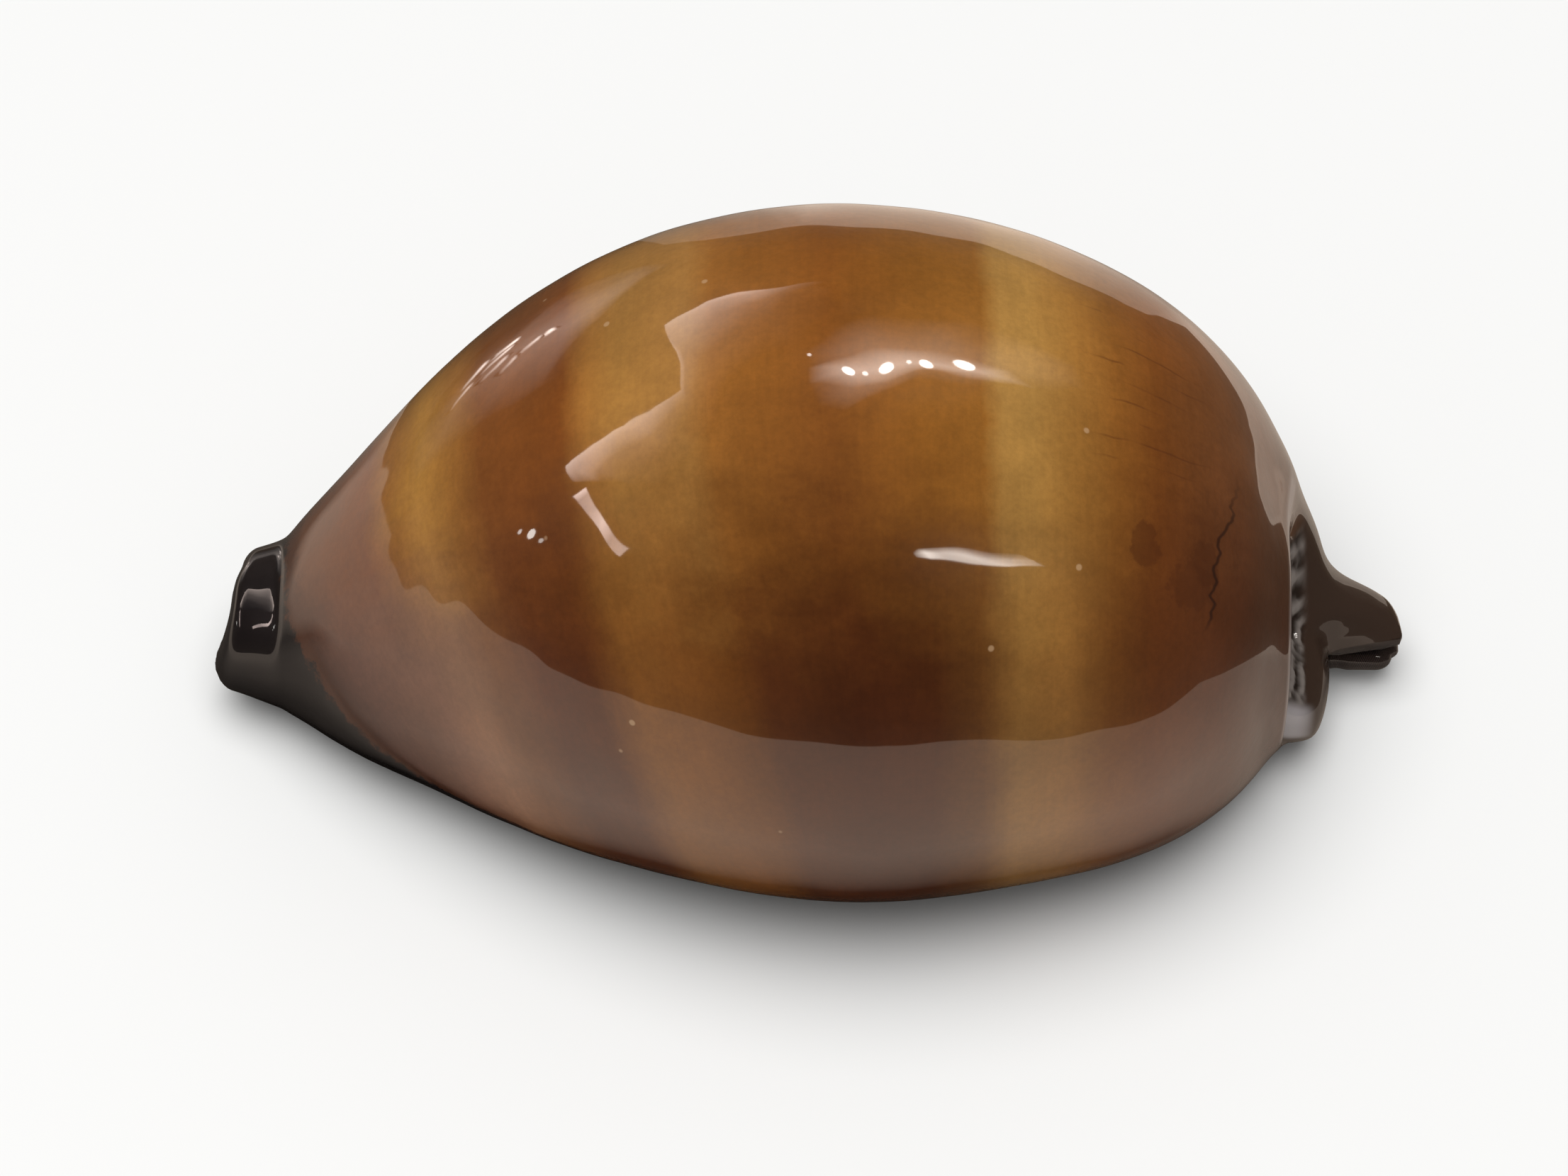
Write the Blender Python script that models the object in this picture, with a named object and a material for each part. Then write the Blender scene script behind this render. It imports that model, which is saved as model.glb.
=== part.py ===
"""A cowrie shell, Talparia exusta, resting on its base.

Metres, +Z up, origin on the ground under the middle. +X is the spire end, -X the snout, +Y the
outer lip's side. The shell is one thick sheet bent round an open cavity, so it is lofted from
sections shaped like a C, whose gap is the toothed aperture along the base.
"""

import bmesh
import bpy
import numpy as np

MM = 0.001

NAME = "talparia_exusta"
NODE = "shell"

# Sections of the outside, in millimetres, from the snout to the beak.
# x is that of the outer lip's margin. The three leans move the crest, the columellar side and
# the lip's edge along x from there, and the tuck is the undercut below the spire's rim.
# y_lip, y_col: the widest points on the two sides.
# y_gap: middle of the aperture. z_top, z_wide, z_base: crest, widest place, underside.
SECTION_COLUMNS = (
    "x", "lean_top", "lean_col", "lean_edge", "tuck",
    "y_lip", "y_col", "y_gap", "z_top", "z_wide", "z_base",
)
OUTSIDE = (
    (-35.7, -0.45, -1.5, -1.2, 0.0, 7.6, -0.9, 3.8, 8.9, 5.0, 2.0),
    (-34.4, -0.1, -0.9, -0.6, 0.0, 7.9, -1.5, 3.7, 9.7, 5.1, 1.5),
    (-32.8, 0.0, 0.0, 0.0, 0.0, 8.5, -2.8, 3.6, 10.8, 5.4, 1.2),
    (-32.1, 0.0, 0.0, 0.0, 0.0, 8.96, -3.43, 3.6, 11.76, 5.62, 1.13),
    (-29.0, 0.0, 0.0, 0.0, 0.0, 11.0, -6.2, 3.5, 16.0, 6.6, 0.8),
    (-24.0, 0.0, 0.0, 0.0, 0.0, 14.3, -9.8, 3.3, 22.5, 8.2, 0.4),
    (-17.0, 0.0, 0.0, 0.0, 0.0, 18.0, -14.6, 3.0, 29.6, 10.4, 0.0),
    (-8.0, 0.0, 0.0, 0.0, 0.0, 20.6, -19.1, 2.8, 34.8, 12.8, -0.2),
    (3.0, 0.0, 0.0, 0.0, 0.0, 21.5, -21.4, 2.5, 36.6, 13.8, -0.35),
    (13.0, 0.0, 0.0, 0.0, 0.0, 20.6, -19.8, 2.1, 34.2, 13.4, -0.2),
    (21.0, 0.0, 0.0, 0.0, 0.0, 18.1, -16.6, 1.7, 29.9, 12.2, 0.2),
    (27.0, -0.3, -0.2, 0.0, 0.0, 14.9, -10.8, 1.3, 22.8, 10.0, 0.7),
    (29.2, -0.6, -0.6, 0.0, 0.0, 13.0, -7.8, 1.2, 18.4, 8.6, 1.0),
    (30.4, -1.0, -1.1, 0.0, 0.0, 11.6, -6.6, 1.1, 15.4, 7.6, 1.1),
    (31.2, -1.5, -1.6, 0.0, -0.9, 10.6, -6.1, 1.0, 13.0, 6.8, 1.2),
    (32.2, -2.1, -2.2, 0.0, -1.1, 9.0, -5.7, 1.0, 10.4, 6.2, 1.3),
    (33.0, -2.5, -2.6, 0.0, -0.7, 7.5, -5.4, 1.0, 8.5, 5.4, 1.4),
    (34.0, -2.9, -3.0, 0.0, -0.2, 6.9, -5.0, 0.9, 7.6, 4.8, 1.4),
    (35.6, -3.8, -4.0, -0.9, 0.0, 6.4, -4.5, 0.8, 6.8, 4.2, 1.5),
    (37.5, -4.8, -5.3, -2.2, 0.0, 5.5, -3.7, 0.8, 5.6, 3.4, 1.5),
)

# Sections of the cavity, in the same columns. z_base is not read: the lips' thickness sets it.
CAVITY = (
    (-35.7, -0.3, -1.8, -1.2, 0.0, 5.9, 1.5, 3.8, 6.5, 5.0, 0.0),
    (-34.4, 0.0, -0.9, -0.6, 0.0, 6.1, 0.9, 3.7, 7.2, 5.1, 0.0),
    (-32.8, 0.0, 0.0, 0.0, 0.0, 6.6, 0.0, 3.6, 8.4, 5.4, 0.0),
    (-29.0, 0.0, 0.0, 0.0, 0.0, 8.4, -3.0, 3.5, 12.8, 6.6, 0.0),
    (-24.0, 0.0, 0.0, 0.0, 0.0, 11.5, -7.0, 3.3, 19.3, 8.2, 0.0),
    (-17.0, 0.0, 0.0, 0.0, 0.0, 15.3, -11.9, 3.0, 27.0, 10.4, 0.0),
    (-8.0, 0.0, 0.0, 0.0, 0.0, 18.1, -16.6, 2.8, 32.7, 12.8, 0.0),
    (3.0, 0.0, 0.0, 0.0, 0.0, 19.1, -19.0, 2.5, 34.8, 13.8, 0.0),
    (13.0, 0.0, 0.0, 0.0, 0.0, 18.1, -17.2, 2.1, 32.2, 13.4, 0.0),
    (20.0, 0.0, 0.0, 0.0, 0.0, 15.5, -14.0, 1.7, 27.6, 12.0, 0.0),
    (25.4, -0.5, -0.3, 0.0, 0.0, 10.6, -8.2, 1.4, 19.4, 9.8, 0.0),
    (28.6, -1.6, -1.3, 0.0, 0.0, 6.0, -3.6, 1.2, 11.0, 7.2, 0.0),
    (31.0, -2.5, -1.9, 0.0, 0.0, 4.3, -1.8, 1.0, 6.8, 5.4, 0.0),
    (34.0, -3.3, -3.1, 0.0, 0.0, 3.5, -1.4, 0.9, 5.0, 4.2, 0.0),
    (37.5, -4.8, -5.3, -2.2, 0.0, 3.0, -1.2, 0.8, 4.0, 3.3, 0.0),
)

# The lips: x, half the gap between them, and the radius of their rolled edge.
LIPS = (
    (-35.7, 1.1, 0.8),
    (-32.0, 1.4, 1.0),
    (-26.0, 1.9, 1.4),
    (-12.0, 1.7, 1.7),
    (8.0, 1.6, 1.7),
    (22.0, 1.4, 1.5),
    (31.0, 1.1, 1.0),
    (37.5, 1.0, 0.8),
)

DOME_POWER = 2.12  # 2 would be an ellipse; more is squarer
BASE_POWER = 2.6

# How much a step of crest, margin, outer lip, columella and height counts as way along the rails.
RAIL_WEIGHTS = (1.0, 0.6, 0.5, 0.5, 1.0)
RAIL_SAMPLES = 4000

TOOTH_PITCH = 1.5
TOOTH_HEIGHT = 0.28
TEETH_FROM, TEETH_TO = -34.0, 35.5
TEETH_FADE = 3.0
RIM_ROUNDING = 1.2  # how far in from each end the sheet starts to thin to its round edge
RIM_STEPS = (0.0, 0.15, 0.5)
RIM_THINNEST = 0.3

# Angles round a section: -90 is the outer lip's edge, 0 its margin, 90 the crest,
# 180 the columellar margin and 270 the columellar lip's edge. A lean sets in from the first
# angle of its pair to the second, and the edge's and the tuck's fade out over theirs.
TOP_LEAN_FROM = (60, 100)
COL_LEAN_FROM = (90, 215)
EDGE_LEAN_FADE = (-89, -60)
TUCK_FROM, TUCK_FADE = (40, 110), (170, 225)

DOME_STEPS = 12
BASE_FRACTIONS = (0.0, 0.08, 0.22, 0.4, 0.6, 0.8)
CAVITY_DOME_STEPS = 6
CAVITY_BASE_FRACTIONS = (0.0, 0.45)
ROLL_STEPS = 6

SHELL_COLOUR = (0.16, 0.065, 0.022, 1.0)
SHELL_ROUGHNESS = 0.18


def clear_scene():
    for old in list(bpy.data.objects):
        bpy.data.objects.remove(old, do_unlink=True)


def natural_spline(knots, values, at):
    """Rows of values on a curve without corners through the knots; the ends run straight."""
    count = len(knots)
    gaps = np.diff(knots)
    matrix = np.eye(count)
    right = np.zeros_like(values)
    slopes = np.diff(values, axis=0) / gaps[:, None]
    for i in range(1, count - 1):
        matrix[i, i - 1:i + 2] = gaps[i - 1], 2 * (gaps[i - 1] + gaps[i]), gaps[i]
        right[i] = 6 * (slopes[i] - slopes[i - 1])
    bends = np.linalg.solve(matrix, right)
    k = np.clip(np.searchsorted(knots, at) - 1, 0, count - 2)
    gap = gaps[k][:, None]
    a = (knots[k + 1] - at)[:, None] / gap
    b = 1 - a
    straight = a * values[k] + b * values[k + 1]
    return straight + ((a**3 - a) * bends[k] + (b**3 - b) * bends[k + 1]) * gap**2 / 6


def sections_at(table, places):
    """The table's rows at the given x, read off smooth rails along the shell."""
    rows = np.array(table)
    column = dict(zip(SECTION_COLUMNS, rows.T))
    crest = column["x"] + column["lean_top"]
    path = np.stack([crest] + [column[c] for c in ("x", "y_lip", "y_col", "z_top")], axis=1)
    steps = np.linalg.norm(np.diff(path * RAIL_WEIGHTS, axis=0), axis=1)
    knots = np.concatenate([[0.0], np.cumsum(steps)])
    fine = np.linspace(0, knots[-1], RAIL_SAMPLES)
    reached = natural_spline(knots, rows, fine)[:, 0]
    return natural_spline(knots, rows, np.interp(places, reached, fine))


def lips_at(places):
    rows = np.array(LIPS)
    return natural_spline(rows[:, 0], rows[:, 1:], places)


def ease(start, end, value):
    """0 before start, 1 after end, and a smooth step between them."""
    w = np.clip((value - start) / (end - start), 0, 1)
    return w**3 * (w * (6 * w - 15) + 10)


def power(value, exponent):
    """A sine or cosine bent to draw a superellipse of that exponent."""
    return np.abs(value) ** (2 / exponent)


def lean(section, angle):
    """How far a point at this angle is moved along x from the section's own place."""
    col = ease(*COL_LEAN_FROM, angle)
    top = ease(*TOP_LEAN_FROM, angle) * (1 - col)
    edge = 1 - ease(*EDGE_LEAN_FADE, angle)
    tuck = ease(*TUCK_FROM, angle) * (1 - ease(*TUCK_FADE, angle))
    return (
        section["lean_top"] * top + section["lean_col"] * col
        + section["lean_edge"] * edge + section["tuck"] * tuck
    )


def base_side(section, side, start, floor, fractions):
    """Points from a lip's edge out to its margin, with their angles."""
    width = abs(section["y_lip" if side > 0 else "y_col"] - section["y_gap"])
    first = np.arcsin((start / width) ** (BASE_POWER / 2))
    turn = first + np.array(fractions) * (np.pi / 2 - first)
    y = section["y_gap"] + side * width * power(np.sin(turn), BASE_POWER)
    z = section["z_wide"] - (section["z_wide"] - floor) * power(np.cos(turn), BASE_POWER)
    swing = 90 - np.degrees(turn)
    angle = -swing if side > 0 else 180 + swing
    return angle, y, z


def dome(section, steps):
    """Points over the back from margin to margin, with their angles."""
    angle = np.linspace(0, 180, steps + 1)
    c, s = np.cos(np.radians(angle)), np.sin(np.radians(angle))
    middle = 0.5 * (section["y_lip"] + section["y_col"])
    half = 0.5 * (section["y_lip"] - section["y_col"])
    y = middle + half * np.sign(c) * power(c, DOME_POWER)
    z = section["z_wide"] + (section["z_top"] - section["z_wide"]) * power(s, DOME_POWER)
    return angle, y, z


def sheet_side(section, start, floor, steps, fractions):
    """One face of the sheet, from the outer lip's edge over the back to the columellar lip's."""
    lip = base_side(section, 1, start, floor, fractions)
    back = dome(section, steps)
    col = base_side(section, -1, start, floor, fractions)
    angle, y, z = (np.concatenate([a, b, c[::-1]]) for a, b, c in zip(lip, back, col))
    return np.stack([section["x"] + lean(section, angle), y, z], axis=1)


def rolled_edge(outer_end, inner_end, side, bulge):
    """Points round a lip's edge from its underside up to the cavity."""
    centre = 0.5 * (outer_end + inner_end)
    radius = 0.5 * (inner_end[2] - outer_end[2])
    turn = np.pi * np.arange(1, ROLL_STEPS) / ROLL_STEPS
    reach = radius + bulge * np.sin(turn)
    y = centre[1] - side * reach * np.sin(turn)
    z = centre[2] - reach * np.cos(turn)
    return np.stack([np.full_like(y, centre[0]), y, z], axis=1)


def tooth(place, index):
    """Ridge on even sections, groove on odd ones, fading out at both ends of the aperture."""
    fade = ease(TEETH_FROM, TEETH_FROM + TEETH_FADE, place)
    fade *= 1 - ease(TEETH_TO - TEETH_FADE, TEETH_TO, place)
    return TOOTH_HEIGHT * fade * (1 if index % 2 == 0 else -1)


def thinned(points, middle, share):
    """Points drawn in to the sheet's middle surface, to round its edges at both ends."""
    return middle + (points - middle) * share


def section_ring(outside, cavity, lips, share, bulge):
    """The closed C of one section: outside, columellar edge, cavity, outer lip's edge."""
    half_gap, roll = lips
    start = half_gap + roll
    outer = sheet_side(outside, start, outside["z_base"], DOME_STEPS, BASE_FRACTIONS)
    outer[:, 2] = np.maximum(outer[:, 2], 0.0)
    inner_floor = max(outside["z_base"], 0.0) + 2 * roll
    fine = sheet_side(cavity, start, inner_floor, DOME_STEPS, BASE_FRACTIONS)
    inner = sheet_side(cavity, start, inner_floor, CAVITY_DOME_STEPS, CAVITY_BASE_FRACTIONS)
    coarse_outer = sheet_side(
        outside, start, outside["z_base"], CAVITY_DOME_STEPS, CAVITY_BASE_FRACTIONS
    )
    outer = thinned(outer, 0.5 * (outer + fine), share)
    inner = thinned(inner, 0.5 * (coarse_outer + inner), share)
    col_edge = rolled_edge(outer[-1], inner[-1], -1, bulge)
    lip_edge = rolled_edge(outer[0], inner[0], 1, bulge)
    return outer, col_edge, inner[::-1], lip_edge[::-1]


def station_places():
    """The x of every section: round-edge steps at the ends, half a tooth apart between."""
    first, last = OUTSIDE[0][0], OUTSIDE[-1][0]
    start, end = first + RIM_ROUNDING, last - RIM_ROUNDING
    count = int(round((end - start) / (0.5 * TOOTH_PITCH)))
    body = np.linspace(start, end, count + 1)
    steps = np.array(RIM_STEPS)
    return np.concatenate([first + steps, body, last - steps[::-1]])


def rim_share(place):
    """The share of the wall's thickness left here by the quarter-round of the rims."""
    depth = min(place - OUTSIDE[0][0], OUTSIDE[-1][0] - place)
    into = min(depth / RIM_ROUNDING, 1.0)
    return max(RIM_THINNEST, (1 - (1 - into) ** 2) ** 0.5)


def shell_sections():
    places = station_places()
    outside = [dict(zip(SECTION_COLUMNS, row)) for row in sections_at(OUTSIDE, places)]
    cavity = [dict(zip(SECTION_COLUMNS, row)) for row in sections_at(CAVITY, places)]
    lips = lips_at(places)
    return [
        section_ring(outside[i], cavity[i], lips[i], rim_share(place), tooth(place, i))
        for i, place in enumerate(places)
    ]


def zip_faces(bm, left, right):
    """Triangles between two rows of points of unequal number, walked side by side."""
    i, j = 0, 0
    while i < len(left) - 1 or j < len(right) - 1:
        step_left = (i + 1) / (len(left) - 1) <= (j + 1) / (len(right) - 1)
        if j == len(right) - 1 or (step_left and i < len(left) - 1):
            bm.faces.new((left[i], left[i + 1], right[j]))
            i += 1
        else:
            bm.faces.new((left[i], right[j + 1], right[j]))
            j += 1


def close_end(bm, ring, sizes):
    """The sheet's thin edge at one end, between the outside's row and the cavity's."""
    outer_count, col_count, inner_count, _ = sizes
    inner_start = outer_count + col_count
    outer = ring[:outer_count]
    inner = ring[inner_start:inner_start + inner_count][::-1]
    zip_faces(bm, outer, inner)
    bm.faces.new(ring[outer_count - 1:inner_start + 1])
    bm.faces.new(ring[inner_start + inner_count - 1:] + ring[:1])


def loft_shell():
    sections = shell_sections()
    sizes = [len(piece) for piece in sections[0]]
    bm = bmesh.new()
    rings = [[bm.verts.new(point * MM) for point in np.concatenate(s)] for s in sections]
    count = len(rings[0])
    for ring, following in zip(rings, rings[1:]):
        for k in range(count):
            nxt = (k + 1) % count
            bm.faces.new((ring[k], ring[nxt], following[nxt], following[k]))
    close_end(bm, rings[0], sizes)
    close_end(bm, rings[-1], sizes)
    bmesh.ops.recalc_face_normals(bm, faces=bm.faces)
    mesh = bpy.data.meshes.new(NODE)
    bm.to_mesh(mesh)
    bm.free()
    return mesh


def shell_material():
    material = bpy.data.materials.new("glossy_shell")
    material.use_nodes = True
    shader = material.node_tree.nodes["Principled BSDF"]
    shader.inputs["Base Color"].default_value = SHELL_COLOUR
    shader.inputs["Roughness"].default_value = SHELL_ROUGHNESS
    shader.inputs["Metallic"].default_value = 0.0
    return material


def main():
    clear_scene()
    collection = bpy.data.collections.new(NAME)
    bpy.context.scene.collection.children.link(collection)
    mesh = loft_shell()
    mesh.materials.append(shell_material())
    mesh.shade_smooth()
    collection.objects.link(bpy.data.objects.new(NODE, mesh))


main()
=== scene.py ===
"""The finished looks of the cowrie shell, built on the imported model.

The shell is one fine mesh, lofted from the same sections as the solid that it replaces, with its
teeth, rims and wrinkles modelled and its colour bands painted by shader nodes. Lengths in the
tables are millimetres; the mesh is in metres, +X to the spire end, -X to the snout, +Y to the
outer lip's side.
"""

import math

import bpy
import numpy as np
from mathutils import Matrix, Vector


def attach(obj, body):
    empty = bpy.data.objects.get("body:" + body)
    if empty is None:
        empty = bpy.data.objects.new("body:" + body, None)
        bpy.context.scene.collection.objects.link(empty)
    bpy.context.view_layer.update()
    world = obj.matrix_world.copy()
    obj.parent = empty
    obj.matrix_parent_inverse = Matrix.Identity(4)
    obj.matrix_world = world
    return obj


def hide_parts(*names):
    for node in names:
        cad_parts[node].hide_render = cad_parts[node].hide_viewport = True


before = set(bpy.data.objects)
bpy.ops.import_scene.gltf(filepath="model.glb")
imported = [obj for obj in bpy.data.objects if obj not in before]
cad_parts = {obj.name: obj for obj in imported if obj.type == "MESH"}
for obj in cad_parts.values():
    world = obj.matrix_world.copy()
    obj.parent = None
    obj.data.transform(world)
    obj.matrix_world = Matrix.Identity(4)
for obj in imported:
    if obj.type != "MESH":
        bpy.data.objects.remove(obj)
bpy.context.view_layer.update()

MM = 0.001

# The photograph's frame and its camera.
PHOTO_WIDTH = 2212
FOCAL_PIXELS = 6900
SENSOR_WIDTH = 36.0
CAMERA_ELEVATION = 50.0
CAMERA_DISTANCE = 0.300
CAMERA_TARGET = (-0.00152, -0.00080, 0.01333)

# The studio, in metres and watts. A direction is an azimuth, 0 from -Y and 90 from +X, and an
# elevation; the lamps and cards are placed by their directions from LIT_POINT.
LIT_POINT = Vector((0, 0, 0.015))
KEY_DIRECTION = (-30, 80)
KEY_DISTANCE = 1.2
KEY_SIZE = 1.3
KEY_POWER = 15.0
FLOOR_HALF = 3.0
FLOOR_COLOUR = (0.86, 0.86, 0.85)
PAPER_COLOUR = (0.89, 0.73, 0.60)
PAPER_HEIGHT = 0.00005
PAPER_RINGS = (0.0, 4.0, 10.0, 27.0, 36.0)  # distances in mm from the shell's margin
PAPER_RINGS_WITHIN, PAPER_RING_STEP = 0.94, 0.01  # shares of the reach that hold the rings in
PAPER_SPOKES = 120

# The mirrored paper: an angle from +X, the reach of its edge in mm, and its painted shade (a factor
# on its colour, lowest next to the shell as a painted contact shadow) on each ring and at the edge.
PAPER = (
    (3.3, 44, 0.15, 0.35, 0.45, 0.5, 0.5, 0.55), (7.7, 42, 0.15, 0.35, 0.45, 0.5, 0.5, 0.5),
    (18, 41, 0.15, 0.35, 0.45, 0.5, 0.5, 0.55), (20, 44, 0.15, 0.35, 0.45, 0.5, 0.6, 0.65),
    (23, 50.5, 0.15, 0.35, 0.45, 0.55, 0.65, 0.7), (26, 55.5, 0.15, 0.35, 0.45, 0.6, 0.7, 0.8),
    (28, 57, 0.15, 0.35, 0.45, 0.6, 0.75, 0.85), (34, 66, 0.15, 0.35, 0.45, 0.6, 0.8, 0.9),
    (45, 70, 0.15, 0.3, 0.4, 0.6, 0.8, 0.9), (52, 74, 0.15, 0.3, 0.4, 0.55, 0.8, 0.9),
    (56, 130, 0.1, 0.2, 0.25, 0.4, 0.6, 0.8), (60, 320, 0.05, 0.1, 0.16, 0.35, 0.6, 1.0),
    (68, 600, 0.05, 0.1, 0.16, 0.45, 0.85, 1.3), (90, 700, 0.05, 0.1, 0.16, 0.45, 0.85, 1.3),
    (95, 500, 0.05, 0.1, 0.14, 0.25, 0.45, 1.0), (101, 380, 0.05, 0.1, 0.12, 0.16, 0.25, 0.7),
    (105, 130, 0.05, 0.1, 0.12, 0.16, 0.22, 0.3), (108, 18, 0.1, 0.1, 0.1, 0.1, 0.1, 0.1),
    (130, 18, 0.1, 0.1, 0.1, 0.1, 0.1, 0.1), (136, 50, 0.05, 0.1, 0.2, 0.3, 0.4, 0.5),
    (150, 105, 0.05, 0.08, 0.1, 0.12, 0.72, 0.78), (162, 190, 0.03, 0.05, 0.08, 0.12, 0.85, 0.82),
    (178, 160, 0.03, 0.05, 0.12, 0.16, 0.85, 0.88), (184.6, 150, 0.02, 0.08, 0.25, 0.5, 0.85, 0.9),
    (196, 125, 0, 0.15, 0.5, 0.8, 0.9, 1.0), (210, 99, 0.02, 0.35, 0.9, 1.1, 1.1, 1.1),
    (225, 94, 0.02, 0.55, 1.12, 1.1, 1.1, 1.1), (252, 93, 0.02, 0.58, 1.22, 1.15, 1.15, 1.15),
    (278, 106, 0.02, 0.5, 1.22, 1.2, 1.2, 1.15), (299, 93, 0.02, 0.42, 1.2, 1.2, 1.15, 1.15),
    (314.5, 83, 0.05, 0.6, 1.1, 1.05, 1.0, 1.0), (330, 76, 0.1, 0.55, 0.95, 0.95, 0.9, 0.9),
    (343.4, 70, 0.4, 0.55, 0.65, 0.65, 0.7, 0.75), (352.3, 58, 0.5, 0.55, 0.58, 0.58, 0.6, 0.65),
)
WORLD_FILL = (0.34, 0.34, 0.34)
WORLD_BACKDROP = (0.93, 0.93, 0.93)
WORLD_MIRRORED = (0.085, 0.054, 0.034)
GLOWS_AT = 0.50
SPOTS_AT = 0.46
SPOT_COLOUR = (1.0, 0.97, 0.92)

# Small lamps that the enamel mirrors: azimuth, elevation, angular size, radiance.
SPOTS = (
    (172, 66, 2.8, 26.0), (155, 62, 2.9, 26.0), (142, 55, 3.3, 26.0), (138, 48, 2.8, 26.0),
    (163, 65, 1.4, 18.0), (148, 58, 1.4, 16.0),
    (-167, 60, 1.2, 14.0), (-84, 12, 2.6, 13.0), (-88, 9.5, 1.3, 9.0), (-80, 13, 1.2, 8.0),
)

# Bright shapes that the enamel mirrors: their colour, and rows of azimuth, elevation, radiance.
GLOWS = {
    "window": ((1.0, 0.82, 0.74), (
        ((-179, 35.5, 0), (-170, 34.4, 1.5), (-162, 33.5, 6.5), (-153.6, 31, 6.5),
         (-143.7, 31.5, 5.5), (-139, 36, 7.0), (-134, 40, 8.0), (-123, 46.7, 3.6),
         (-114, 42, 6.0), (-106, 38, 7.5), (-97.7, 24.7, 10.0), (-92, 25, 1.5)),
        ((-178, 36.6, 0), (-170, 35.8, 0.9), (-162, 34.9, 3.8), (-153, 32.8, 4.6),
         (-142.0, 33.2, 4.4), (-137.6, 37.2, 5.2), (-132.6, 41, 5.0), (-122, 47.8, 2.2),
         (-113, 43.4, 3.6), (-104.6, 39.2, 4.6), (-96.2, 26.2, 6.5), (-91.2, 26.2, 0.9)),
        ((178, 39, 0), (-170, 38.6, 0.3), (-163, 38, 1.2), (-153, 37, 2.3),
         (-139, 38.6, 2.6), (-134.4, 41.0, 2.2), (-129, 44.6, 1.8), (-119, 49.6, 0.9),
         (-110, 46.4, 1.2), (-101, 42.2, 1.4), (-92.6, 30.4, 1.7), (-88.2, 29.6, 0.2)),
        ((178, 44, 0), (-170, 44.4, 0.15), (-163, 45, 0.35), (-150, 45, 0.6),
         (-134, 46, 0.8), (-129.6, 48, 0.7), (-124, 50, 0.5), (-113, 53, 0.25),
         (-104, 50, 0.3), (-95, 46.4, 0.3), (-88, 37, 0.3), (-84, 35.4, 0)),
        ((178, 54, 0), (-170, 55, 0), (-163, 57, 0), (-146, 57, 0),
         (-126, 57, 0), (-122, 57, 0), (-116, 58, 0), (-104, 59, 0),
         (-96, 56, 0), (-86, 52, 0), (-80, 44, 0), (-77, 41, 0)),
    )),
    "strip": ((1.0, 0.80, 0.74), (
        ((-88.6, 26.2, 16.0), (-86.0, 26.0, 7.0), (-81.2, 25.4, 8.0), (-77.0, 25.0, 14.0),
         (-71.7, 24.4, 6.0), (-66.0, 23.4, 8.0)),
        ((-87.4, 23.2, 14.0), (-85.0, 23.2, 6.0), (-80.6, 22.9, 7.0), (-76.0, 22.6, 12.0),
         (-71.0, 21.8, 6.0), (-65.0, 20.9, 8.0)),
    )),
    "line": ((1.0, 0.93, 0.86), (
        ((29.0, 47.6, 0), (32.0, 48.2, 1.4), (35.0, 47.4, 1.8), (40.0, 45.6, 1.5),
         (46.3, 43.0, 1.5), (51.0, 40.4, 1.0), (56.0, 38.0, 0.4)),
        ((29.4, 46.4, 3.0), (32.2, 46.4, 10.0), (35.0, 45.2, 19.0), (40.0, 43.2, 12.0),
         (46.3, 40.7, 14.0), (51.0, 38.2, 9.0), (56.0, 35.8, 4.0)),
        ((30.0, 45.5, 3.0), (32.8, 44.5, 9.0), (35.6, 43.2, 17.0), (40.8, 41.2, 11.0),
         (46.7, 38.8, 11.0), (51.0, 36.2, 12.0), (55.5, 34.4, 4.0)),
        ((30.4, 45.0, 0), (33.0, 43.8, 0), (35.8, 42.4, 0), (41.0, 40.6, 0),
         (46.9, 38.2, 0), (51.0, 35.7, 0), (55.4, 34.0, 0)),
    )),
    "spot_glow": ((1.0, 0.90, 0.82), (
        ((126, 34, 0), (134, 30, 0), (148, 36, 0), (168, 46, 0), (192, 50, 0)),
        ((127, 40, 0), (134, 40, 0.9), (146, 49, 1.8), (168, 59, 1.8), (194, 58, 0)),
        ((128, 45, 0), (135, 47, 6.5), (147, 58, 8.5), (169, 65, 8.5), (198, 65, 0)),
        ((129, 50, 0), (137, 54, 0.9), (150, 66, 1.8), (172, 72, 1.8), (204, 71, 0)),
        ((130, 57, 0), (140, 64, 0), (155, 76, 0), (180, 82, 0), (212, 78, 0)),
    )),
}

# A broad haze that it mirrors and the thin bright strokes before it: azimuth and elevation of
# both ends, width, radiance.
STROKES = (
    (-136.0, -13.0, -146.0, 12.0, 34.0, 1.5),
    (-148.5, -11.1, -149.9, -10.5, 2.4, 13.0), (-139.9, 3.6, -144.4, 4.2, 2.6, 14.0),
    (-145.8, -5.1, -147.5, -3.7, 3.0, 12.0), (-138.2, 0.4, -142.4, 3.4, 2.6, 9.0),
    (-135.5, -0.4, -139.2, 0.6, 2.2, 6.0), (-142.0, -8.1, -146.0, -6.2, 2.8, 10.0),
    (-136.0, -4.0, -140.8, -2.7, 2.2, 6.0), (-138.0, -9.6, -143.4, -8.9, 2.2, 7.0),
    (-133.2, -8.0, -138.6, -6.6, 2.4, 4.5), (-139.3, -7.0, -143.6, -4.6, 2.2, 8.0),
)
STROKES_NEARER = 0.002  # each hangs a little before the last, so that none hides it
STROKE_RIM = 0.12
STROKE_SHADES = ((0.0, 0.0), (0.35, 0.45), (0.8, 1.0), (1.0, 0.0))  # share of the way, brightness
STROKE_COLOUR = (1.0, 0.86, 0.78)

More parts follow.
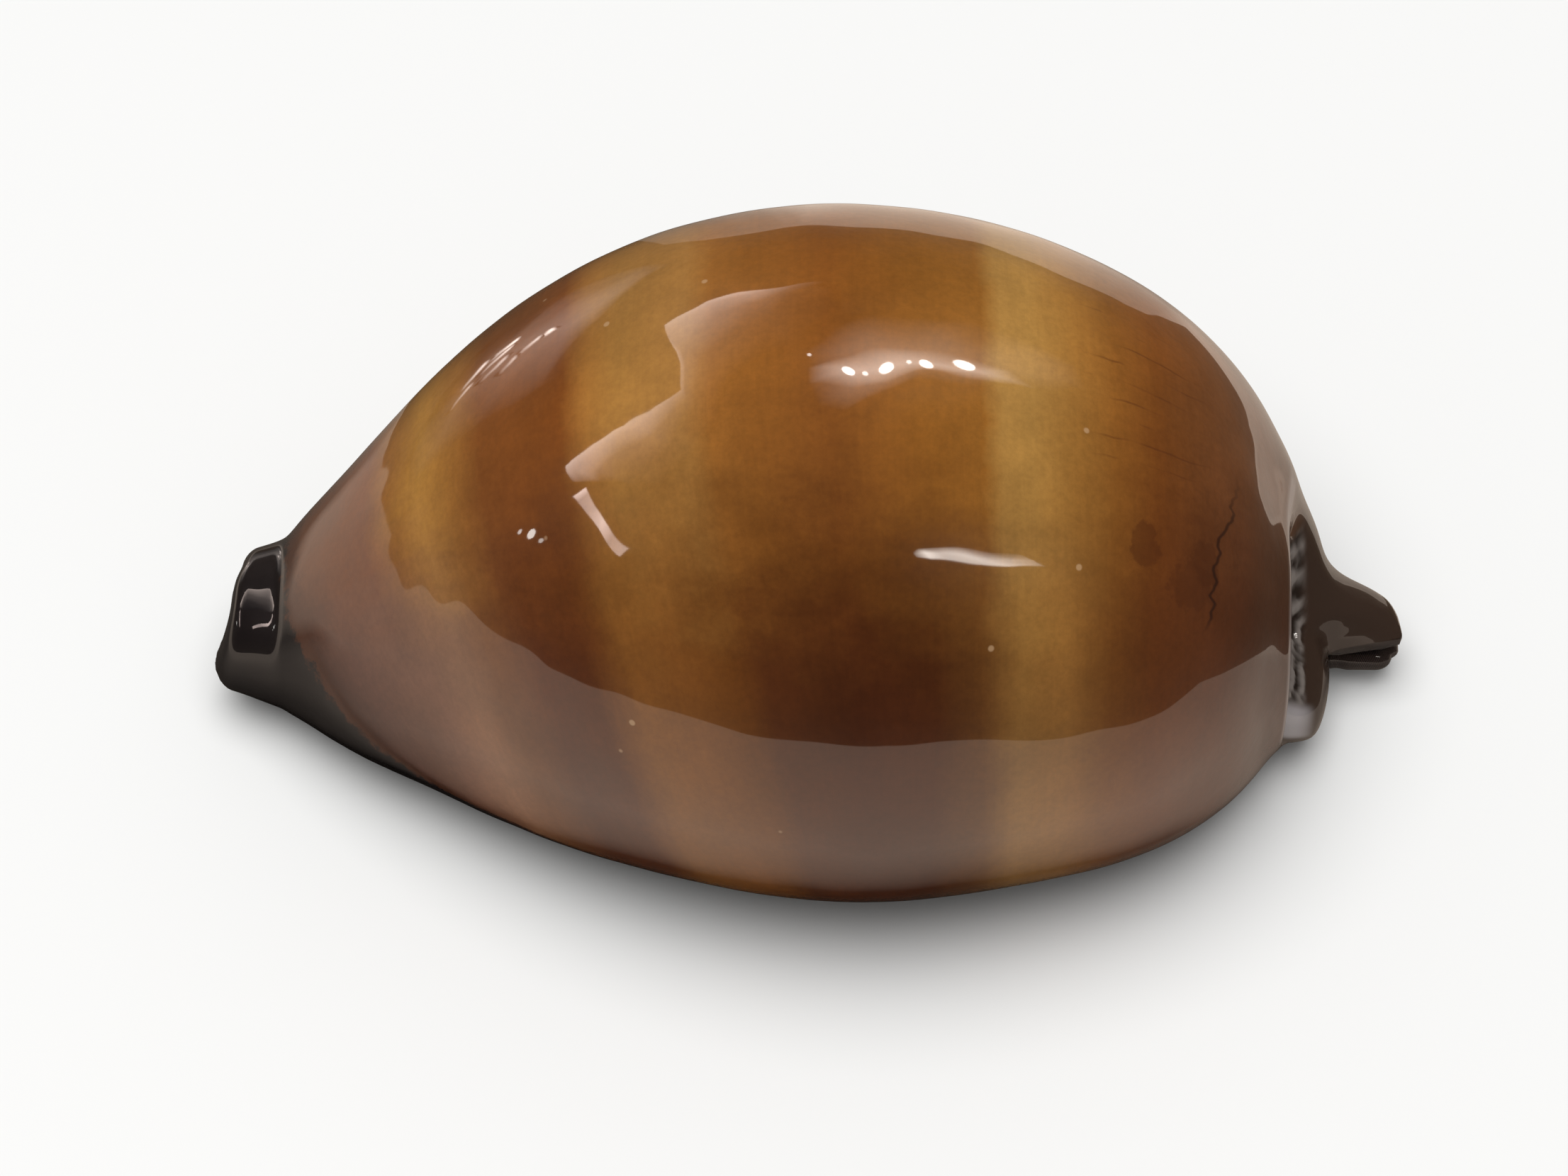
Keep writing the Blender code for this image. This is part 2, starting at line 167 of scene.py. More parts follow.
# Sections of the outside, from the snout to the beak.
SECTION_COLUMNS = (
    "x", "lean_top", "lean_col", "lean_edge", "tuck",
    "y_lip", "y_col", "y_gap", "z_top", "z_wide", "z_base",
)
OUTSIDE = (
    (-35.7, -0.45, -1.5, -1.2, 0, 7.6, -0.9, 3.8, 9.5, 5.0, 2.0),
    (-34.4, -0.1, -0.9, -0.6, 0, 7.9, -1.5, 3.7, 10.0, 5.1, 1.5),
    (-33.5, 0, -0.3, -0.2, 0, 8.2, -2.2, 3.6, 10.3, 5.2, 1.3),
    (-33.0, 0, -0.1, -0.1, 0, 8.42, -2.6, 3.6, 10.5, 5.35, 1.25),
    (-32.6, 0, 0, 0, 0, 8.65, -3.0, 3.6, 10.95, 5.45, 1.2),
    (-32.1, 0, 0, 0, 0, 8.96, -3.43, 3.6, 11.7, 5.62, 1.13),
    (-29.0, 0, 0, 0, 0, 11.0, -6.2, 3.5, 16.0, 6.6, 0.8),
    (-24.0, 0, 0, 0, 0, 14.3, -9.8, 3.3, 22.5, 8.2, 0.4),
    (-17.0, 0, 0, 0, 0, 18.0, -14.6, 3.0, 29.6, 10.4, 0),
    (-8.0, 0, 0, 0, 0, 20.6, -19.1, 2.8, 34.8, 12.8, -0.2),
    (3.0, 0, 0, 0, 0, 21.5, -21.4, 2.5, 36.6, 13.8, -0.35),
    (13.0, 0, 0, 0, 0, 20.6, -19.8, 2.1, 34.2, 13.4, -0.2),
    (21.0, 0, 0, 0, 0, 18.1, -16.6, 1.7, 29.9, 12.2, 0.2),
    (27.0, -0.3, -0.2, 0, 0, 14.9, -10.8, 1.3, 22.8, 10.0, 0.7),
    (29.2, -0.6, -0.6, 0, 0, 13.0, -7.8, 1.2, 18.4, 8.6, 1.0),
    (30.4, -1.0, -1.1, 0, 0, 11.6, -6.6, 1.1, 15.4, 7.6, 1.1),
    (31.2, -1.5, -1.6, 0, -0.9, 10.6, -6.1, 1.0, 13.0, 6.8, 1.2),
    (32.2, -2.1, -2.2, 0, -1.1, 9.0, -5.7, 1.0, 10.4, 6.2, 1.3),
    (33.0, -2.5, -2.6, 0, -0.7, 7.5, -5.4, 1.0, 8.5, 5.4, 1.4),
    (34.0, -2.9, -3.0, 0, -0.2, 6.9, -5.0, 0.9, 7.6, 4.8, 1.4),
    (35.6, -3.8, -4.0, -0.9, 0, 6.4, -4.5, 0.8, 6.8, 4.2, 1.5),
    (37.5, -4.8, -5.3, -2.2, 0, 5.5, -3.7, 0.8, 5.6, 3.4, 1.5),
)

# Sections of the cavity. z_base is not read: the lips' thickness sets it.
CAVITY = (
    (-35.7, -0.3, -1.8, -1.2, 0, 5.9, 1.5, 3.8, 6.5, 5.0, 0),
    (-34.4, 0, -0.9, -0.6, 0, 6.1, 0.9, 3.7, 7.2, 5.1, 0),
    (-32.8, 0, 0, 0, 0, 6.6, 0, 3.6, 8.4, 5.4, 0),
    (-29.0, 0, 0, 0, 0, 8.4, -3.0, 3.5, 12.8, 6.6, 0),
    (-24.0, 0, 0, 0, 0, 11.5, -7.0, 3.3, 19.3, 8.2, 0),
    (-17.0, 0, 0, 0, 0, 15.3, -11.9, 3.0, 27.0, 10.4, 0),
    (-8.0, 0, 0, 0, 0, 18.1, -16.6, 2.8, 32.7, 12.8, 0),
    (3.0, 0, 0, 0, 0, 19.1, -19.0, 2.5, 34.8, 13.8, 0),
    (13.0, 0, 0, 0, 0, 18.1, -17.2, 2.1, 32.2, 13.4, 0),
    (20.0, 0, 0, 0, 0, 15.5, -14.0, 1.7, 27.6, 12.0, 0),
    (25.4, -0.5, -0.3, 0, 0, 10.6, -8.2, 1.4, 19.4, 9.8, 0),
    (28.6, -1.6, -1.3, 0, 0, 6.0, -3.6, 1.2, 11.0, 7.2, 0),
    (31.0, -2.5, -1.9, 0, 0, 4.3, -1.8, 1.0, 6.8, 5.4, 0),
    (34.0, -3.3, -3.1, 0, 0, 3.5, -1.4, 0.9, 5.0, 4.2, 0),
    (37.5, -4.8, -5.3, -2.2, 0, 3.0, -1.2, 0.8, 4.0, 3.3, 0),
)

# The lips: x, half the gap between them, and the radius of their rolled edge.
LIPS = (
    (-35.7, 1.1, 0.8),
    (-32.0, 1.4, 1.0),
    (-26.0, 1.9, 1.4),
    (-12.0, 1.7, 1.7),
    (8.0, 1.6, 1.7),
    (22.0, 1.4, 1.5),
    (31.0, 1.1, 1.0),
    (37.5, 1.0, 0.8),
)

DOME_POWER = 2.12  # 2 would be an ellipse; more is squarer
BASE_POWER = 2.6
RAIL_WEIGHTS = (1.0, 0.6, 0.5, 0.5, 1.0)
RAIL_SAMPLES = 8000

# Angles round a section: -90 is the outer lip's edge, 0 its margin, 90 the crest,
# 180 the columellar margin and 270 the columellar lip's edge.
TOP_LEAN_FROM = (60, 105)
TIP_LEAN_FROM = (62, 94)  # the beak's tip, where its roof is cut off along the canal
TIP_STARTS = (32.5, 37.0)
COL_LEAN_FROM = (90, 215)
EDGE_LEAN_FADE = (-89, -60)
TUCK_FROM, TUCK_FADE = (40, 110), (170, 225)

# How finely the sheet is divided: stations along x (place, spacing), and points round a section.
STATION_SPACING = (
    (-37.5, 0.14), (-31.0, 0.21), (28.0, 0.21), (29.0, 0.11), (34.0, 0.14), (37.5, 0.14),
)
DOME_STEPS = 84
BASE_STEPS = 26
CAVITY_DOME_STEPS = 32
CAVITY_BASE_STEPS = 10
ROLL_STEPS = 14
RIM_ROUNDING = 1.1
RIM_STATIONS = 70  # at each end, those that the rounding can reach
RIM_THINNEST = 0.12

# Teeth along both lips, and how far they reach over the lip and into the cavity.
TOOTH_PITCH = 1.5
TOOTH_DEPTH = 0.32
TOOTH_REACH = {"lip": 3.4, "col": 2.4, "inside": 1.3}
TOOTH_FADE_FROM = 0.55  # a share of the reach
TOOTH_WANDER, TOOTH_WANDER_PACE = 0.5, 0.7
COL_TEETH_TURN = 2.0  # radians by which one lip's teeth are out of step with the other's
GROOVE_BROADNESS = 0.8
TEETH_BETWEEN = (-34.2, -31.7, 32.1, 34.6)

# Folds in the pit round the sunken spire, by section and angle. Four places are where a form
# begins, is full, starts to fade and ends; two are where a change begins and ends.
PIT_SECTIONS = (31.2, 31.5, 33.6, 34.2)
PIT_ANGLES = (62, 78, 146, 158)
PIT_ENDS = (30.5, 31.3)
PIT_RELIEF = 0.20
# Where the pit's face below the folds takes a painted reflection of the pale floor.
FACE_SECTIONS = (31.0, 31.7, 33.0, 35.6)
FACE_ANGLES = (146, 160, 186, 198)
PIT_SLIT_SPACING = 0.62
PIT_SLIT_WANDER = ((1.6, 11.0, 0.0), (0.9, 4.7, 1.0))  # radians, degrees to a radian, start
PIT_SLIT_FADE = 6.3
PIT_WAVELENGTH = 0.9
PIT_SUNK = 0.4

# The crease where the black snout begins, and how uneven the whole surface is.
CREASE_DEPTH = 0.10
CREASE_WIDTH = 0.6
CREASE_OUTWARDS = 0.2
CREASE_ANGLES = (140, 160, 185, 205)
UNEVENNESS = 0.03
UNEVEN_WAVELENGTH = 11.0
UNEVEN_SECTIONS = (-35.6, -33.0, 33.5, 35.5)
RIPPLE_HEIGHT = 0.05

# Where the black of the snout, margins and base begins: angle, and x on that angle.
BLACK_BORDER = (
    (-90, 60.0), (-42, 60.0), (-34, 12.0), (-25, -8.0), (-15, -22.0), (0, -28.0), (20, -31.0),
    (45, -32.4), (100, -32.4), (125, -32.1), (143, -31.2), (159, -30.1), (171, -28.9), (178, -27.7),
    (187, -25.4), (195, -23.0), (203, -14.8), (211, -5.0), (217, 7.0), (224, 60.0), (270, 60.0),
)

# The colour bands swing towards the spire end on their way down the columellar side.
BAND_SWING = 5.9
SWING_ANGLES = (105.0, 182.0)
SWING_POWER = 1.4
SWING_MOST = 1.15
SWING_FADE = (-4.0, 9.0)

# Colours (linear) along the shell: x in mm, then red, green and blue.
TOP_COLOURS = (
    (-33.0, 0.060, 0.020, 0.008), (-31.5, 0.110, 0.036, 0.012), (-27.0, 0.170, 0.046, 0.009),
    (-25.2, 0.300, 0.120, 0.018), (-23.4, 0.430, 0.200, 0.034), (-21.6, 0.340, 0.140, 0.024),
    (-19.6, 0.200, 0.062, 0.010), (-14.6, 0.178, 0.050, 0.006), (-13.0, 0.315, 0.132, 0.024),
    (-11.4, 0.335, 0.156, 0.032), (-7.4, 0.330, 0.152, 0.034), (-5.8, 0.270, 0.102, 0.016),
    (-3.8, 0.228, 0.081, 0.011), (1.0, 0.200, 0.064, 0.008), (6.0, 0.225, 0.082, 0.010),
    (9.8, 0.250, 0.096, 0.013), (11.0, 0.375, 0.192, 0.044), (12.8, 0.380, 0.195, 0.044),
    (15.2, 0.325, 0.145, 0.027), (17.8, 0.245, 0.090, 0.013), (20.4, 0.200, 0.061, 0.008),
    # At x 24.5 and 28.0 the blue is raised: a painted reflection of the pale haze near the spire end.
    (24.5, 0.195, 0.066, 0.017), (28.0, 0.140, 0.048, 0.016), (31.0, 0.052, 0.022, 0.012),
    (33.0, 0.026, 0.016, 0.011),
)
# Colours low on the sides, darker than on top: partly the shell's own darker sides, partly painted
# shade.
LOW_COLOURS = (
    (-33.0, 0.050, 0.018, 0.011), (-30.0, 0.092, 0.035, 0.021), (-26.0, 0.148, 0.060, 0.031),
    (-23.5, 0.200, 0.085, 0.038), (-21.5, 0.130, 0.044, 0.012), (-18.5, 0.070, 0.016, 0.003),
    (-15.6, 0.075, 0.018, 0.003), (-13.2, 0.165, 0.058, 0.009), (-10.0, 0.155, 0.052, 0.008),
    (-7.2, 0.105, 0.032, 0.004), (-5.2, 0.066, 0.017, 0.003), (1.5, 0.050, 0.011, 0.002),
    (7.2, 0.056, 0.013, 0.002), (9.9, 0.100, 0.034, 0.006), (12.2, 0.200, 0.090, 0.019),
    (14.8, 0.200, 0.084, 0.017), (17.4, 0.138, 0.045, 0.007), (20.0, 0.098, 0.026, 0.004),
    (25.0, 0.082, 0.021, 0.005), (29.0, 0.058, 0.018, 0.008), (33.0, 0.026, 0.016, 0.011),
)
RAMP_FROM, RAMP_TO = -38.0, 38.0
LOW_FROM, LOW_TO = 96.0, 155.0
LOW_STREAKS = 34.0
BAND_RAGGEDNESS = 1.3
SPIRE_END_DARKER = 16.0
BORDER_RAGGEDNESS = 1.9

# Marks on the enamel, by place along the shell and angle round it.
FAR_SIDE = (-15.0, 38.0)
SPIRE_END = (16.0, 21.0)
STREAK_SPACING = 3.9  # degrees between the dark lines
STREAK_BEND = 5.0
STREAK_PLACES, STREAK_ANGLES = (15.5, 18.0, 22.0, 24.5), (68, 78, 106, 116)
STREAK_COLOUR = (0.085, 0.022, 0.005)
STREAK_STRENGTH = 0.5
BLOTCHES = ((19.4, 124, 1.0, 4.5), (22.3, 131, 1.5, 6.0), (23.1, 126, 0.9, 6.0))
BLOTCH_COLOUR = (0.060, 0.014, 0.003)
BLOTCH_STRENGTH = 0.42
SCAR_PLACES, SCAR_TURNS = (25.0, 23.0), (112, 140)  # from the first to the last
SCAR_WANDER = 0.9
SCAR_EDGE = (0.03, 0.17)
SCAR_ANGLES = (98, 120, 137, 142)
SCAR_COLOUR = (0.018, 0.005, 0.003)
SCAR_STRENGTH = 0.8
SPECK_SPACING = 0.22  # to a millimetre
SPECK_EDGE = (0.030, 0.055)
SPECK_COLOUR = (0.55, 0.36, 0.20)
SPECK_STRENGTH = 0.45

# Colours and places of the ends, the margins, the base and its teeth.
FRINGE_COLOUR = (0.060, 0.018, 0.007)
FRINGE_EDGE, BLACK_EDGE = (-1.3, -0.1), (-0.15, 0.35)
BLACK_COLOUR = (0.0055, 0.0045, 0.0055)
BASE_COLOUR = (0.030, 0.012, 0.006)
BASE_PLACES = (-24.0, -2.0)  # where the black of the snout turns to the base's brown
TOOTH_COLOUR = (0.060, 0.026, 0.012)
GAP_COLOUR = (0.200, 0.110, 0.060)
GAP_EDGE = (0.25, 0.8)
# Painted shade in the pit's slits and painted highlight on the folds between them.
FOLD_SHADE_AND_HIGHLIGHT_COLOURS = ((0.010, 0.008, 0.007), (0.24, 0.21, 0.19))
FOLD_SHADING_STRENGTH = 0.8
# A painted reflection of the pale floor on the pit's face.
FACE_REFLECTION_COLOUR = (0.36, 0.33, 0.33)
FACE_REFLECTION_STRENGTH = 0.85
# A painted highlight: a pale line along the pit's rim, where it lies and how strong it is.
RIM_SECTIONS = (29.7, 29.95, 30.1, 30.4)
RIM_ANGLES = (60, 80, 185, 205)
RIM_HIGHLIGHT_COLOUR = (0.50, 0.43, 0.40)
RIM_HIGHLIGHT_STRENGTH = 0.5
BEAK_COLOUR = (0.034, 0.020, 0.014)
BEAK_STARTS = (30.9, 31.6)
BEAK_STRENGTH = 0.9
INSIDE_COLOUR = (0.10, 0.055, 0.045)
MOUTH_COLOUR = (0.014, 0.008, 0.006)
MOUTH_STARTS = (32.4, 34.4)
CANAL_COLOUR = (0.022, 0.014, 0.013)
# A painted highlight on the crests of the canal's ridges.
RIDGE_HIGHLIGHT_COLOUR = (0.085, 0.060, 0.055)
RIDGE_EDGE = (0.3, 1.0)
CANAL_STARTS = (31.5, 33.0)
CANAL_RIDGES = 24.0  # radians a millimetre: one ridge in about a quarter of a millimetre
CANAL_SLANT = 4.0
CANAL_RELIEF = 0.07

# The enamel: a dull body under a clear coat.
BODY_ROUGHNESS, BODY_SPECULAR = 0.36, 0.12
COAT_ROUGHNESS, COAT_INDEX = 0.035, 1.5

# What the mesh keeps at each point for the enamel's nodes to read.
PAINTED = (
    "along", "round", "arc", "station", "outer", "dark", "toothed", "groove",
    "pit", "folds", "pit_face_reflection", "pit_rim_highlight", "canal", "mouth",
)


def natural_spline(knots, values, at):
    """Rows of values on a curve without corners through the knots; the ends run straight."""
    count = len(knots)
    gaps = np.diff(knots)
    matrix = np.eye(count)
    right = np.zeros_like(values)
    slopes = np.diff(values, axis=0) / gaps[:, None]
    for i in range(1, count - 1):
        matrix[i, i - 1:i + 2] = gaps[i - 1], 2 * (gaps[i - 1] + gaps[i]), gaps[i]
        right[i] = 6 * (slopes[i] - slopes[i - 1])
    bends = np.linalg.solve(matrix, right)
    k = np.clip(np.searchsorted(knots, at) - 1, 0, count - 2)
    gap = gaps[k][:, None]
    a = (knots[k + 1] - at)[:, None] / gap
    b = 1 - a
    straight = a * values[k] + b * values[k + 1]
    return straight + ((a**3 - a) * bends[k] + (b**3 - b) * bends[k + 1]) * gap**2 / 6


def sections_at(table, places):
    """The table's columns at the given x, read off smooth rails along the shell."""
    rows = np.array(table)
    column = dict(zip(SECTION_COLUMNS, rows.T))
    crest = column["x"] + column["lean_top"]
    path = np.stack([crest] + [column[c] for c in ("x", "y_lip", "y_col", "z_top")], axis=1)
    steps = np.linalg.norm(np.diff(path * RAIL_WEIGHTS, axis=0), axis=1)
    knots = np.concatenate([[0.0], np.cumsum(steps)])
    fine = np.linspace(0, knots[-1], RAIL_SAMPLES)
    reached = natural_spline(knots, rows, fine)[:, 0]
    found = natural_spline(knots, rows, np.interp(places, reached, fine))
    return {name: values[:, None] for name, values in zip(SECTION_COLUMNS, found.T)}


def ease(start, end, value):
    """0 before start, 1 after end, and a smooth step between them."""
    w = np.clip((value - start) / (end - start), 0, 1)
    return w**3 * (w * (6 * w - 15) + 10)


def power(value, exponent):
    """A sine or cosine bent to draw a superellipse of that exponent."""
    return np.abs(value) ** (2 / exponent)


def lean(section, angle):
    """How far a point at this angle is moved along x from the section's own place."""
    tip = ease(*TIP_STARTS, section["x"])
    start, end = (a + (b - a) * tip for a, b in zip(TOP_LEAN_FROM, TIP_LEAN_FROM))
    col = ease(*COL_LEAN_FROM, angle)
    top = ease(start, end, angle) * (1 - col)
    edge = 1 - ease(*EDGE_LEAN_FADE, angle)
    tuck = ease(*TUCK_FROM, angle) * (1 - ease(*TUCK_FADE, angle))
    return (
        section["lean_top"] * top + section["lean_col"] * col
        + section["lean_edge"] * edge + section["tuck"] * tuck
    )


def base_side(section, side, start, floor, fractions):
    """Points from a lip's edge out to its margin, with their angles."""
    width = np.abs(section["y_lip" if side > 0 else "y_col"] - section["y_gap"])
    first = np.arcsin((start / width) ** (BASE_POWER / 2))
    turn = first + fractions * (np.pi / 2 - first)
    y = section["y_gap"] + side * width * power(np.sin(turn), BASE_POWER)
    z = section["z_wide"] - (section["z_wide"] - floor) * power(np.cos(turn), BASE_POWER)
    swing = 90 - np.degrees(turn)
    angle = -swing if side > 0 else 180 + swing
    return angle, y, z


def dome(section, steps):
    """Points over the back from margin to margin, with their angles."""
    angle = np.linspace(0, 180, steps + 1)
    c, s = np.cos(np.radians(angle)), np.sin(np.radians(angle))
    middle = 0.5 * (section["y_lip"] + section["y_col"])
    half = 0.5 * (section["y_lip"] - section["y_col"])
    y = middle + half * np.sign(c) * power(c, DOME_POWER)
    z = section["z_wide"] + (section["z_top"] - section["z_wide"]) * power(s, DOME_POWER)
    return np.broadcast_to(angle, y.shape), y, z


def sheet_side(section, start, floor, steps, fractions):
    """One face of the sheet, from the outer lip's edge over the back to the columellar lip's."""
    lip = base_side(section, 1, start, floor, fractions)
    back = dome(section, steps)
    col = base_side(section, -1, start, floor, fractions)
    angle, y, z = (
        np.concatenate([a, b, c[:, ::-1]], axis=1) for a, b, c in zip(lip, back, col)
    )
    return angle, np.stack([section["x"] + lean(section, angle), y, z], axis=2)


def rolled_edge(outer_end, inner_end, side):
    """Points round a lip's edge from its underside up to the cavity."""
    centre = 0.5 * (outer_end + inner_end)
    radius = 0.5 * (inner_end[:, 2:] - outer_end[:, 2:])
    turn = np.pi * np.arange(1, ROLL_STEPS) / ROLL_STEPS
    y = centre[:, 1:2] - side * radius * np.sin(turn)
    z = centre[:, 2:] - radius * np.cos(turn)
    return np.stack([np.broadcast_to(centre[:, :1], y.shape), y, z], axis=2)


def station_places():
    """The x of every section, closer together where the form changes fast."""
    given, spacing = np.array(STATION_SPACING).T
    fine = np.linspace(OUTSIDE[0][0], OUTSIDE[-1][0], 4000)
    density = 1 / np.interp(fine, given, spacing)
    passed = np.concatenate([[0], np.cumsum(0.5 * (density[1:] + density[:-1]) * np.diff(fine))])
    count = int(round(passed[-1]))
    return np.interp(np.linspace(0, passed[-1], count + 1), passed, fine)


def rim_share(middle, ends):
    """The share of the wall's thickness left by the quarter-round of the rims at both ends."""
    depth = np.full(middle.shape[:2], RIM_ROUNDING)
    for rows, end in ((slice(None, RIM_STATIONS), ends[0]), (slice(-RIM_STATIONS, None), ends[1])):
        apart = np.linalg.norm(middle[rows, :, None] - end, axis=3).min(axis=2)
        depth[rows] = np.minimum(depth[rows], apart)
    into = depth / RIM_ROUNDING
    return np.maximum(RIM_THINNEST, np.sqrt(1 - (1 - into) ** 2))[:, :, None]


def lip_fractions(steps):
    """Shares of the way from a lip's edge to its margin, closer together at both."""
    t = np.arange(steps) / steps
    return 0.5 * (t + 0.5 - 0.5 * np.cos(np.pi * t))


def shell_grid():
    """Points (stations, round, xyz) of the closed C-shaped ring at every station, with angles."""
    places = station_places()
    outside, cavity = sections_at(OUTSIDE, places), sections_at(CAVITY, places)
    lips = np.array(LIPS)
    half_gap, roll = natural_spline(lips[:, 0], lips[:, 1:], places).T[:, :, None]
    start = half_gap + roll
    inner_floor = np.maximum(outside["z_base"], 0.0) + 2 * roll
    fine, coarse = lip_fractions(BASE_STEPS), lip_fractions(CAVITY_BASE_STEPS)

    angle, outer = sheet_side(outside, start, outside["z_base"], DOME_STEPS, fine)
    outer[:, :, 2] = np.maximum(outer[:, :, 2], 0.0)
    _, behind = sheet_side(cavity, start, inner_floor, DOME_STEPS, fine)
    _, inner = sheet_side(cavity, start, inner_floor, CAVITY_DOME_STEPS, coarse)
    _, before = sheet_side(outside, start, outside["z_base"], CAVITY_DOME_STEPS, coarse)
    middle, inner_middle = 0.5 * (outer + behind), 0.5 * (inner + before)
    ends = middle[0], middle[-1]
    outer = middle + (outer - middle) * rim_share(middle, ends)
    inner = inner_middle + (inner - inner_middle) * rim_share(inner_middle, ends)

    col_edge = rolled_edge(outer[:, -1], inner[:, -1], -1)
    lip_edge = rolled_edge(outer[:, 0], inner[:, 0], 1)
    points = np.concatenate([outer, col_edge, inner[:, ::-1], lip_edge[:, ::-1]], axis=1)
    counts = [part.shape[1] for part in (outer, col_edge, inner, lip_edge)]
    beyond = points.shape[1] - counts[0]
    ring_angle = np.concatenate([angle, np.full((len(places), beyond), 270.0)], axis=1)
    return {
        "points": points, "counts": counts, "ring_angle": ring_angle, "outside": outside,
        "half_gap": half_gap, "is_outer": np.arange(points.shape[1]) < counts[0],
    }


def grid_normals(points):
    """Unit normals of a grid that is closed round its second axis."""
    along = np.gradient(points, axis=0)
    round_ = np.roll(points, -1, axis=1) - np.roll(points, 1, axis=1)
    normal = np.cross(round_, along)
    return normal / np.maximum(np.linalg.norm(normal, axis=2, keepdims=True), 1e-9)


def ripple(points, wavelength):
    """Smooth waves of about this length, between -1 and 1, uneven in all directions."""
    x, y, z = (points[..., k] * (2 * np.pi / wavelength) for k in range(3))
    first = np.sin(x + 1.3 * np.sin(0.7 * y + 1.0)) * np.sin(0.9 * y + 0.8 * np.sin(0.6 * z))
    second = np.sin(0.8 * z + 1.1 * np.sin(0.5 * x + 2.0)) * np.cos(0.7 * x - 0.6 * y)
    return 0.6 * first + 0.4 * second


def window(value, rise_from, rise_to, fall_from, fall_to):
    """0 outside, 1 inside, with eased sides."""
    return ease(rise_from, rise_to, value) * (1 - ease(fall_from, fall_to, value))


def tooth_grooves(grid):
    """How far each point sinks into a groove between teeth."""
    points, counts, section = grid["points"], grid["counts"], grid["outside"]
    x, y = points[..., 0], points[..., 1]
    from_gap = y - section["y_gap"]
    past_lip, past_col = from_gap - grid["half_gap"], -from_gap - grid["half_gap"]
    ring = np.arange(points.shape[1])
    outer_end = counts[0] + counts[1]
    inner_start, inner_end = outer_end, outer_end + counts[2]
    inner_middle = inner_start + counts[2] // 2
    col = (ring > counts[0] // 2) & (ring < inner_middle)
    inside = (ring >= inner_start) & (ring < inner_end)
    under = np.zeros(points.shape[1], bool)
    under[:BASE_STEPS] = under[counts[0] - BASE_STEPS:] = True
    apart = np.where(col, past_col, past_lip)
    reach = np.where(col, TOOTH_REACH["col"], TOOTH_REACH["lip"])
    reach = np.where(inside, TOOTH_REACH["inside"], reach)
    mask = under * (1 - ease(TOOTH_FADE_FROM * reach, reach, apart))
    wander = TOOTH_WANDER * np.sin(TOOTH_WANDER_PACE * x)
    phase = 2 * np.pi * x / TOOTH_PITCH + wander + np.where(col, COL_TEETH_TURN, 0.0)
    groove = 0.5 - 0.5 * np.cos(phase)
    ends = window(x, *TEETH_BETWEEN)
    return mask * groove**GROOVE_BROADNESS * ends, mask * ends, groove


def border_distance(grid):
    """Signed distance in mm into the black, from its border with the coloured back."""
    angles, places = np.array(BLACK_BORDER, float).T
    angle, points = grid["ring_angle"], grid["points"]
    border = np.interp(angle, angles, places)
    slope = np.interp(angle, 0.5 * (angles[1:] + angles[:-1]), np.diff(places) / np.diff(angles))
    half = 0.5 * (grid["outside"]["y_lip"] - grid["outside"]["y_col"])
    steep = slope / (np.radians(1) * np.maximum(half, 3.0))
    return (border - points[..., 0]) / np.sqrt(1 + steep**2)


def pit_folds(points, section_x, angle):
    """Slits beside the pit's rim that wander and fade, with small waves between them."""
    wander = sum(size * np.sin(angle / pace + start) for size, pace, start in PIT_SLIT_WANDER)
    slits = np.sin(2 * np.pi * section_x / PIT_SLIT_SPACING + wander)
    strength = 0.65 + 0.35 * np.sin(angle / PIT_SLIT_FADE)
    return 0.7 * slits * strength + 0.7 * ripple(points, PIT_WAVELENGTH)


def mark_ends(grid):
    """How far each point belongs to the pit, its face and rim, the canal or the snout's mouth."""
    section_x, angle, back = grid["outside"]["x"], grid["ring_angle"], grid["is_outer"]
    pit = window(section_x, *PIT_SECTIONS) * window(angle, *PIT_ANGLES) * back
    grid["pit"] = pit * (1 - ease(*PIT_ENDS, grid["points"][..., 0]))
    grid["pit_face_reflection"] = window(section_x, *FACE_SECTIONS) * window(angle, *FACE_ANGLES) * back
    grid["pit_rim_highlight"] = window(section_x, *RIM_SECTIONS) * window(angle, *RIM_ANGLES) * back
    grid["canal"] = ease(*CANAL_STARTS, section_x) * ~back
    grid["mouth"] = ease(*MOUTH_STARTS, -section_x) * ~back


def refine(grid):
    """Sink the grooves, folds and crease into the surface, and make it slightly uneven."""
    points, angle, back = grid["points"], grid["ring_angle"], grid["is_outer"]
    section_x = grid["outside"]["x"]
    groove, grid["toothed"], grid["groove"] = tooth_grooves(grid)
    grid["dark"] = border_distance(grid)
    grid["folds"] = pit_folds(points, section_x, angle)
    mark_ends(grid)
    crease = np.exp(-((grid["dark"] + CREASE_OUTWARDS) / CREASE_WIDTH) ** 2)
    crease = crease * window(angle, *CREASE_ANGLES) * back
    waves = ripple(points, UNEVEN_WAVELENGTH) + 0.5 * ripple(points + 40.0, UNEVEN_WAVELENGTH / 2)
    uneven = waves * window(section_x, *UNEVEN_SECTIONS) * back
    rise = (
        -TOOTH_DEPTH * groove + PIT_RELIEF * grid["pit"] * (grid["folds"] - PIT_SUNK)
        - CREASE_DEPTH * crease + UNEVENNESS * uneven
    )
    grid["points"] = points + grid_normals(points) * rise[..., None]
    grid["points"][..., 2] = np.maximum(grid["points"][..., 2], 0.0)


